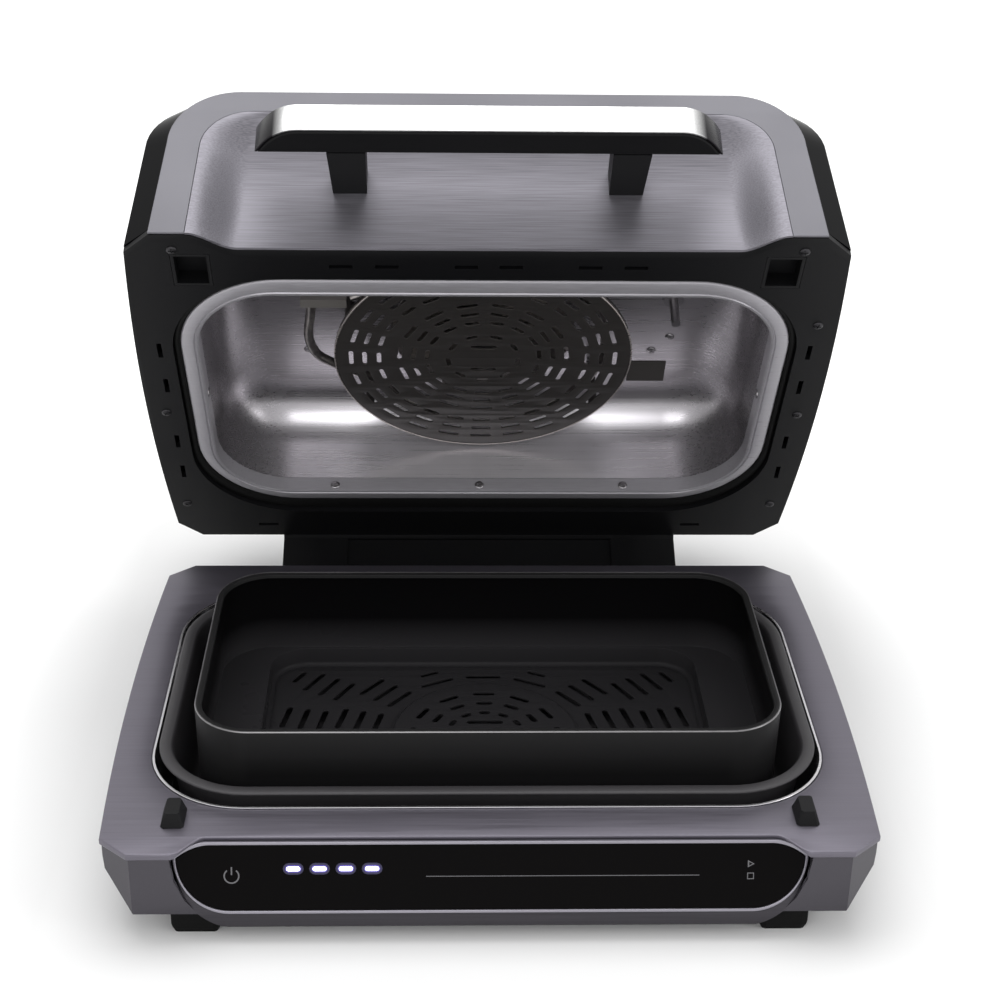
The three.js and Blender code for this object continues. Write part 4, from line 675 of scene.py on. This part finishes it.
def panel_body():
    """The carrier: a side outline kept inside a bowl-shaped front outline, hollowed for glass and board."""
    low, under, top, front = -panel.floor_drop, -panel.skirt_drop - SEAT, -deck.thickness - 2 * SEAT, -deck.depth
    half, back, toe = deck.shoulder_half + SEAT, front + panel.step, front + housing.toe_back - housing.wall - SEAT
    face_low = face_top_y - panel.lean_out
    side = [(face_top_y + panel.lean_out * (top + panel.top_drop) / face_height, top),
            (face_low, -panel.face_drop), (face_low, low + panel.chin_round)]
    side += quadratic(side[-1], (face_low, low), (face_low + panel.chin_round, low))
    side += [(toe, low), (toe, under), (back - SEAT, under), (back - SEAT, top)]
    made = mesh_of("panel_body", [prism(side, -half, half, "YZX")], BASE)
    bowl = [(x, y + top) for x, y in smile(half, panel.floor_drop + top, panel.chin_radius, 0, 0)]
    carved(made, tool(BASE, prism(bowl, front - 20, 0, "XZY")), operation="INTERSECT")
    tools = [tool(FACE, prism(face_outline(-SEAT), -panel.frame_depth - SEAT, OVERRUN)),
             tool(FACE, prism(face_outline(panel.frame_width + panel.pocket_ledge), -panel.pocket_depth, OVERRUN))]
    for x0, x1 in ((-deck.half, -housing.foot_inner + SEAT), (housing.foot_inner - SEAT, deck.half)):
        tools.append(tool(BASE, block(x0, x1, front + housing.foot_front - SEAT, front + housing.toe_back,
                                      -housing.ground, under)))
    piece(carved(made, *tools), "base", chin_paint, "housing_grey", "panel_carrier", angle=25)


def panel_front():
    depth = panel.frame_depth + panel.frame_rise
    bezel = flat_plate("bezel", face_outline(0), [face_outline(panel.frame_width)], depth, 0.35, FACE, panel.frame_rise)
    piece(bezel, "base", bezel_grey, "front_grey", "panel_frame", angle=40)
    glass = flat_plate("glass", face_outline(panel.frame_width + SEAT), [], panel.glass, 0.3, FACE)
    piece(glass, "base", panel_black, "panel_glass", "panel_glass", angle=40)


def mark(name, outline, holes=(), material=printed, rise=0.02):
    """A thin printed or lit mark on the glass."""
    thickness, edge = 0.16, 0.05
    made = flat_plate(name, outline, holes, thickness, edge, FACE, rise + thickness)
    piece(made, "base", material, "lamp_white")


def panel_marks():
    """Four lit bars with a painted glow round each, the power mark and a thin line."""
    layers = (("haze", 11.4, 6.6, lamp_haze, 0), ("halo", 9.0, 4.2, lamp_halo, 0.03),
              ("bar", 7.6, 2.6, lamp_glow, 0.06))
    for index in range(lamp.count):
        centre = (lamp.first + index * lamp.pitch, lamp.y)
        for name, length, width, material, rise in layers:
            mark(f"lamp_{name}_{index + 1}", slot_outline(0, -90, length, width, centre), [], material, rise)
    x, y, radius, half, gap = -142.8, -19.4, 4.4, 0.4, 38
    turns = [radians(90 + gap + (360 - 2 * gap) * share) for share in shares(40)]
    outer, inner = ([polar(reach, turn, (x, y)) for turn in turns] for reach in (radius, radius - 2 * half))
    mark("power_ring", outer + inner[::-1])
    mark("power_bar", rectangle(x - half, x + half, y + 0.6, y + 5.2))
    left, right, y, half = -36.2, 114.6, -20.0, 0.21
    mark("scale_line", rectangle(left, right, y - half, y + half))


def key_marks():
    """Plain marks at the right end, for starting and stopping."""
    x, start_y, stop_y, size, line = 143, -13.6, -20.6, 2.1, 0.5
    triangle, hole = ([(x + across * reach, start_y + up * reach) for across, up in ((-0.8, 1), (1, 0), (-0.8, -1))]
                      for reach in (size, size - 2 * line))
    mark("mark_start", triangle, [hole])
    square, hole = (rectangle(x - reach, x + reach, stop_y - reach, stop_y + reach)
                    for reach in (size * 0.9, size * 0.9 - line))
    mark("mark_stop", square, [hole])


# Lid

lid_front = -lid.depth
lid_low, face_low = rim.thickness + SEAT, 1.6
face_half = lid.half - lid.bevel
dish_half = face_half - band.side_width
dish_top = lid.height - lid.face_loss - band.top_width
guard_middle = (0, guard.centre)
# Stands a flat drawing up in the lid's front, its own Z looking out
FRONT = LID @ Matrix.Translation((0, lid_front, 0)) @ Matrix.Rotation(pi / 2, 4, "X")


def arch_ring(half, top, radius, y, low, steps=10):
    """The lid's cross-section, from its left foot over the top to its right foot."""
    centre, right = (half - lid.side_lean - radius, top - radius), []
    for share in shares(steps):
        x, z = polar(radius, pi / 2 * (1 - share), centre)
        right.append(Vector((x, y, z)))
    right.append(Vector((half, y, low)))
    return mirrored(right) + right


def lid_form(wall, low, front_face, rear_face, stations=12):
    half, top = lid.half - wall, lid.height - wall
    face = half - lid.bevel
    rings = [arch_ring(face, top - lid.rear_loss, lid.face_radius, rear_face, low)]
    for share in shares(stations):
        y = -lid.bevel + (lid_front + 2 * lid.bevel) * share
        rings.append(arch_ring(half + swell_at(lid.swell, share), top, lid.corner_radius, y, low))
    rings.append(arch_ring(face, top - lid.face_loss, lid.face_radius, front_face, low))
    return loft(rings)


def dish_half_at(z):
    lean = lid.side_lean * z / dish_top
    above = max(z - (dish_top - band.inner_radius), 0)
    return dish_half - lean - band.inner_radius + sqrt(max(band.inner_radius ** 2 - above ** 2, 0))


def dish_row(z, grow=0.0, shift=0.0, steps=10):
    """The scooped front at a height, from its right edge to its left one."""
    share = max(z, 0) / dish_top
    depth = rim.recess * (1 - share) + swell_at(dish.belly, share)
    half = dish_half_at(max(z, 0)) + grow
    right = [Vector((half - dish.blend * part, lid_front + depth * part * part * (3 - 2 * part) + shift, z))
             for part in shares(steps)]
    return right + mirrored(right)


def dish_scoop(grow, shift, sections=20):
    """The room in front of the dish, as a tool."""
    rings = []
    for z in [-OVERRUN] + [dish_top * sin(share * pi / 2) for share in shares(sections)]:
        row = dish_row(z, grow, shift)
        high = grow if z == dish_top else 0
        ahead = [Vector((end.x, lid_front - OVERRUN, z)) for end in (row[0], row[-1])]
        rings.append([Vector((p.x, p.y, p.z + high)) for p in (ahead[0], *row, ahead[1])])
    return tool(LID, loft(rings))


def face_heights(steps):
    return [dish_top - (dish_top - face_low) * (1 - sin(share * pi / 2)) for share in shares(steps)]


def lid_shell():
    face = lid_front + band.thickness + SEAT
    hollow = tool(LID, lid_form(lid.wall, lid_low - OVERRUN, face + lid.wall, -lid.wall))
    carved(hollow, dish_scoop(SEAT + dish.backing, dish.sheet + SEAT + dish.backing))
    top, half = lid.height - vent.from_top, vent.width / 2
    middles = [(index - (vent.count - 1) / 2) * vent.pitch for index in range(vent.count)]
    vents = [block(x - half, x + half, -lid.wall - OVERRUN, OVERRUN, top - vent.height, top) for x in middles]
    shell = mesh_of("shell", [lid_form(0, lid_low, face, 0)], LID)
    carved(shell, hollow, dish_scoop(SEAT, dish.sheet + SEAT), tool(LID, *vents))
    piece(shell, "lid", gloss_black, "gloss_black", "lid_shell", angle=18, width=1.1, segments=3)


def lid_front_band():
    """The flat grey band round the lid's front, open at its foot."""
    arch = arch_ring(face_half, lid.height - lid.face_loss, lid.face_radius, 0, face_low, 16)
    outer = [Vector((p.x, p.z)) for p in arch]
    inner = [Vector((dish_half_at(z) + SEAT, z + (SEAT if z == dish_top else 0))) for z in face_heights(40)]
    made = flat_plate("band", outer + inner + mirrored(inner), [], band.thickness, 0.35, FRONT)
    piece(made, "lid", front_grey, "front_grey", "lid_band", angle=40)


def lid_front_panel():
    rows, across = [], 12
    for z in face_heights(44):
        row = dish_row(z, steps=14)
        middle = len(row) // 2
        left, right = row[middle], row[middle - 1]
        rows.append(row[:middle] + [right.lerp(left, i / across) for i in range(1, across)] + row[middle:])
    made = mesh_of("front", [sheet_of(rows)], LID)
    made.modifiers.new("thick", "SOLIDIFY").thickness = dish.sheet * MM
    piece(baked(made), "lid", front_brushed, "front_brushed", "lid_panel", angle=50)


def lid_rim():
    drawn_in = Sizes(**{**vars(rim), "depth": rim.depth - rim_cut.chamfer_depth})
    rings = [[Vector((*p, z)) for p in recessed_plan(plan)]
             for plan, z in ((drawn_in, 0), (rim, rim_cut.chamfer_rise), (rim, rim.thickness))]
    made = mesh_of("rim", [loft(rings)], LID)
    opening = grown(grown(grown(flange, SEAT), seal.width, seal.back_width), SEAT)
    tools = [tool(LID, loft(plan_rings(opening, (0, -OVERRUN), (0, 2 * OVERRUN))))]
    narrow, long = rim_cut.slot_width / 2, rim_cut.slot_length / 2
    reach_x, reach_y = (size / 2 + rim_cut.socket_wall + SEAT for size in (rim_cut.socket_width, rim_cut.socket_depth))
    cuts = [(guide.x, -deck.depth + guide.from_front, reach_x, reach_y)]
    cuts += [(lid.half - rim_cut.side_from_edge, lid_front * share, narrow, long) for share in rim_cut.side_shares]
    cuts += [(lid.half * share, lid_front + rim_cut.front_from_edge, long, narrow) for share in rim_cut.front_shares]
    cuts.append((lid.half - rim_cut.back_from_side, -rim_cut.back_from_edge, long, narrow))
    tools += [tool(LID, block(side * x - dx, side * x + dx, y - dy, y + dy, -OVERRUN, 2 * OVERRUN))
              for side in (-1, 1) for x, y, dx, dy in cuts]
    carved(made, *tools, dish_scoop(SEAT, dish.sheet + SEAT))
    piece(made, "lid", rim_black, "matte_black", "lid_rim", angle=20, width=0.4, segments=3)


def lid_seal():
    inner = grown(flange, SEAT)
    low, high = flange_edge.lift, flange_edge.lift + seal.thickness
    profile = [(0, high), (0, low + 1)]
    profile += [(share, low + seal.bead * (2 * share - 1) ** 2) for share in (0.1, 0.3, 0.5, 0.7, 0.9)]
    profile += [(1, low + 1), (1, high)]
    a, b = plan_ring(grown(inner, seal.width, seal.back_width), 0, 0), plan_ring(inner, 0, 0)
    made = mesh_of("seal", [loft([between(a, b, share, z) for share, z in profile], looped=True)], LID)
    piece(made, "lid", seal_rubber, "rubber_black", "lid_seal", angle=50)


def cavity_flange():
    f, low, high = flange_edge, flange_edge.lift, flange_edge.lift + flange_edge.thickness
    a, b = plan_ring(flange, 0, 0), plan_ring(mouth, 0, 0)
    profile = [(0, high), (0, low + 1.1), (0.03, low + 0.5), (0.1, low), (0.7, low), (0.74, low + f.groove),
               (0.8, low + f.groove), (0.84, low), (0.94, low), (0.99, low + 0.4)]
    rings = [between(a, b, share, z) for share, z in profile]
    rings += plan_rings(mouth, (0, low + 1.2), (0, f.collar_depth), (-f.collar_wall, f.collar_depth),
                        (-f.collar_wall, high))
    made = mesh_of("flange", [loft(rings, looped=True)], LID)
    piece(made, "lid", flange_steel, "steel_bright", "cavity_flange", angle=40)


def cavity_liner():
    low, wall = flange_edge.collar_depth + SEAT, liner.wall
    outside, inside = [], []
    for share in shares(14):
        turn = share * pi / 2
        rise, draw = (liner.height - liner.straight) * sin(turn), liner.inset * (1 - cos(turn))
        inside.append(plan_ring(mouth, draw, liner.straight + rise))
        outside.append(plan_ring(mouth, draw - wall * cos(turn), liner.straight + rise + wall * sin(turn)))
    hole = circle(liner.shaft_hole, guard_middle, len(inside[0]))
    inner_bore, outer_bore = ([Vector((*p, z)) for p in hole] for z in (liner.height, liner.height + wall))
    rings = [outer_bore, *reversed(outside), *plan_rings(mouth, (-wall, low), (0, low)), *inside, inner_bore]
    made = mesh_of("liner", [loft(rings, looped=True)], LID)
    piece(made, "lid", liner_steel, "steel_liner", "cavity_liner", angle=50)


def fan_guard():
    radius, height, sheet, sides = guard.radius, guard.height, guard.thickness, guard.sides
    slots = []
    for share, count, length_share in GUARD_ROWS:
        length = length_share * 2 * pi * (share * radius) / count
        slots += slot_row(share * radius, count, 90, length, guard.slot_width, guard_middle)
    slots += slot_row(guard.heart_share * radius, 2, 90, guard.heart_length, guard.heart_width, guard_middle)
    face = flat_plate("guard", circle(radius, guard_middle, sides), slots, sheet, 0.3, LID, height + sheet)
    hem = [(radius - 0.1, height + 0.4), (radius - 0.1, height + guard.hem), (radius - sheet, height + guard.hem),
           (radius - sheet, height + 0.4)]
    tab_y, half = guard.centre + guard.tab_back, guard.tab_width / 2
    parts = [lathed(hem, guard_middle, sides),
             block(radius - sheet, radius + guard.tab_length, tab_y - half, tab_y + half,
                   height + sheet, height + sheet * 2)]
    post = [(guard.post_radius, height + 0.6), (guard.post_radius, liner.height - SEAT)]
    for degrees in guard.post_angles:
        place = polar(radius - guard.post_from_edge, radians(degrees), guard_middle)
        parts.append(lathed(post, place, 24, False))
    made = joined(face, mesh_of("guard_frame", parts, LID))
    piece(made, "lid", guard_paint, "guard_dark", "fan_guard", angle=40)
    ring = [(radius + 0.35, height + 0.2), (radius + 0.35, height + 1.4), (radius - 0.9, height - 0.25),
            (radius, height - 0.3)]
    edge = mesh_of("guard_edge", [lathed(ring, guard_middle, sides)], LID)
    piece(edge, "lid", guard_edge, "steel_bright", angle=60)


def heating_element():
    ring = guard.radius - heater.inset
    places = [(heater.leg_x, heater.bracket_back + SEAT), (heater.leg_x, guard.centre + heater.bend_start),
              (heater.leg_x + heater.bend_in, guard.centre + heater.bend_end)]
    places += [polar(ring, radians(heater.start - heater.sweep * share), guard_middle) for share in shares(24)]
    places.append((heater.bracket_right + heater.tube, heater.bracket_back - heater.bracket_thickness / 2))
    curve = bpy.data.curves.new("heater", "CURVE")
    curve.dimensions = "3D"
    curve.bevel_depth, curve.bevel_resolution, curve.use_fill_caps = heater.tube, 6, True
    spline = curve.splines.new("BEZIER")
    spline.bezier_points.add(len(places) - 1)
    for knot, place in zip(spline.bezier_points, places):
        knot.co = (*place, heater.height)
        knot.handle_left_type = knot.handle_right_type = "AUTO"
    piece(from_curve("heater", curve, LID), "lid", heater_steel, "heater_dark", "heating_element", angle=60)


# Handle

def handle_line(grow):
    half, back = handle.half + grow, lid_front - handle.standoff + rim.recess
    front, turn = back - handle.depth - grow, handle.half + grow - handle.depth * handle.bend
    start = (handle.straight, front)
    right = [start, *quadratic(start, (turn, front), (half, back))]
    return mirrored(right) + right


def lid_handle():
    top = handle.low + handle.height
    bar = flat_plate("handle", handle_line(0), [], handle.height, 1.2, LID, top)
    piece(bar, "lid", matte_black, "matte_black", "handle_bar", angle=40)
    strip = handle_line(handle.cover + SEAT) + handle_line(SEAT)[::-1]
    cover = flat_plate("handle_strip", strip, [], handle.height - 2 * handle.margin, 0.5, LID, top - handle.margin)
    piece(cover, "lid", handle_satin, "handle_satin", "handle_cover", angle=40)


# Screws

def screw_head():
    """A domed head with a cross recess; its own Z looks out."""
    s = screw
    profile = [(s.radius, 0), (s.radius, s.rise * 0.3), (s.radius * 0.92, s.rise * 0.62),
               (s.radius * 0.72, s.rise * 0.88), (s.radius * 0.35, s.rise)]
    made = mesh_of("screw", [lathed(profile, sides=24, looped=False)], Matrix())
    arm, half, deep, high = s.radius * 0.6, s.cross / 2, s.rise * 0.35, s.rise * 2
    cross = [tool(Matrix(), block(-x, x, -y, y, deep, high)) for x, y in ((arm, half), (half, arm))]
    return carved(made, *cross)


def screws():
    """Screws of the lower frame, the collar and the cavity's ceiling, each with its place and its way out."""
    down = (0, 0, -1)
    frame_places = ((-186.3, -310), (-208, -149), (-206, -41), (186.5, -311), (205.7, -242), (207.5, -148), (205, -41))
    collar = [((x, mouth.back, 7.5), (0, -1, 0)) for x in (-102, -1, 100)]
    collar += [((side * mouth.half, -160, 8.5), (-side, 0, 0)) for side in (-1, 1)]
    ceiling_places = ((-119.7, -120), (118, -120), (129.5, -135))
    head = screw_head()
    points, faces = [p.co for p in head.data.vertices], [tuple(face.vertices) for face in head.data.polygons]
    for name, places, material, slot in (
            ("frame_screws", [((*p, 0), down) for p in frame_places], screw_dark, "matte_black"),
            ("collar_screws", collar, screw_steel, "steel_bright"),
            ("cavity_screws", [((*p, liner.height), down) for p in ceiling_places], screw_steel, "steel_bright")):
        parts = []
        for index, (place, way) in enumerate(places):
            turned = Vector(way).to_track_quat("Z", "Y").to_matrix().to_4x4() @ Matrix.Rotation(index * 1.1, 4, "Z")
            parts.append(([Matrix.Translation(place) @ turned @ p for p in points], faces))
        piece(mesh_of(name, parts, LID), "lid", material, slot, angle=45)
    removed(head)


def both(*names):
    return [f"{name}_{side}" for name in names for side in ("left", "right")]


def cad_finishes():
    """Everything else keeps the CAD's own shape."""
    dress(housing_paint, 0.5, "base_housing", angle=20)
    dress(matte_black, 0.4, "bottom_tray", *both("socket_cup"))
    dress(rubber, 0.3, "cable_gland")
    dress(rubber, 0.6, *both("foot_front", "foot_rear"))
    dress(matte_black, 0.6, *both("guide_pin", "hinge_ear", "handle_post"))
    dress(matte_black, 0.6, "hinge_neck", angle=25)
    dress(screw_steel, 0.3, "heat_probe", *both("hinge_pin"))
    dress(board_green, 0.2, "control_board")
    dress(lamp_body, 0.2, *(f"indicator_lamp_{index + 1}" for index in range(lamp.count)))
    dress(cast_metal, 0.4, "heater_terminal")
    dress(heater_steel, 0.2, "fan_impeller")
    dress(screw_steel, 0.2, "fan_shaft")
    dress(bright_steel, 0.2, "motor_plate")
    dress(cast_metal, 0.5, "fan_motor")


# Floor and light

def seen_rays(tree):
    """One for what the camera sees, straight or in metal and glass."""
    seen = 0
    for kind in ("Camera", "Glossy", "Transmission"):
        seen = add(tree, "Math", {0: seen, 1: add(tree, "LightPath", {}, f"Is {kind} Ray")}, operation="MAXIMUM")
    return seen


def floor_and_light():
    half, white = 6, (1, 1, 1, 1)
    corners = [(*corner, 0) for corner in rectangle(-half, half, -half, half)]
    ground = mesh_of("floor", [(corners, [(0, 1, 2, 3)])], Matrix())
    material, tree, main = shader_of("floor_white", (0.82, 0.82, 0.82), 0.7, shine=0.1)
    # The floor clears to white away from the base, and keeps the shadow near it
    reach = (deck.half * MM, deck.depth * MM - SHIFT.y, 0)
    place = add(tree, "TexCoord", {}, "Object")
    for operation, other in (("ABSOLUTE", {}), ("SUBTRACT", {1: reach}), ("MAXIMUM", {1: (0, 0, 0)})):
        place = add(tree, "VectorMath", {0: place, **other}, operation=operation)
    away = add(tree, "VectorMath", {0: place}, "Value", operation="LENGTH")
    clear = add(tree, "Math", {0: seen_rays(tree), 1: spread(tree, away, 0, 0.4, 0.04, 0.2)}, operation="MULTIPLY")
    main["Emission Color"].default_value = white
    tree.links.new(clear, main["Emission Strength"])
    ground.data.materials.append(material)
    world = bpy.data.worlds.new("studio")
    bpy.context.scene.world = world
    world.use_nodes = True
    tree = world.node_tree
    ambient = tree.nodes["Background"]
    ambient.inputs["Color"].default_value = white
    ambient.inputs["Strength"].default_value = 0.75
    backdrop = add(tree, "Background", {"Color": white, "Strength": 1})
    sky = add(tree, "MixShader", {"Fac": seen_rays(tree), 1: ambient.outputs["Background"], 2: backdrop})
    tree.links.new(sky, tree.nodes["World Output"].inputs["Surface"])
    for name, place, aim, size, power in (("overhead", (-0.1, 0.45, 2.2), (0, -0.1, 0.1), (2.2, 1.3), 30),
                                          ("front", (-0.5, -2.4, 1.3), (0, 0, 0.25), (1.6, 1.0), 14),
                                          ("right_side", (1.9, -0.9, 0.9), (0, 0, 0.2), (0.8, 1.3), 8)):
        light = bpy.data.lights.new(name, "AREA")
        light.shape, light.size, light.size_y, light.energy = "RECTANGLE", *size, power
        hung = placed(name, light)
        hung.location = place
        hung.rotation_euler = (Vector(aim) - Vector(place)).to_track_quat("-Z", "Y").to_euler()
    bpy.context.scene.view_settings.view_transform = "Standard"


for make in (deck_plate, well_liner, cooking_pot, crisper_basket, panel_body, panel_front, panel_marks, key_marks,
             lid_shell, lid_front_band, lid_front_panel, lid_rim, lid_seal, cavity_flange, cavity_liner, fan_guard,
             heating_element, lid_handle, screws, cad_finishes, floor_and_light):
    make()
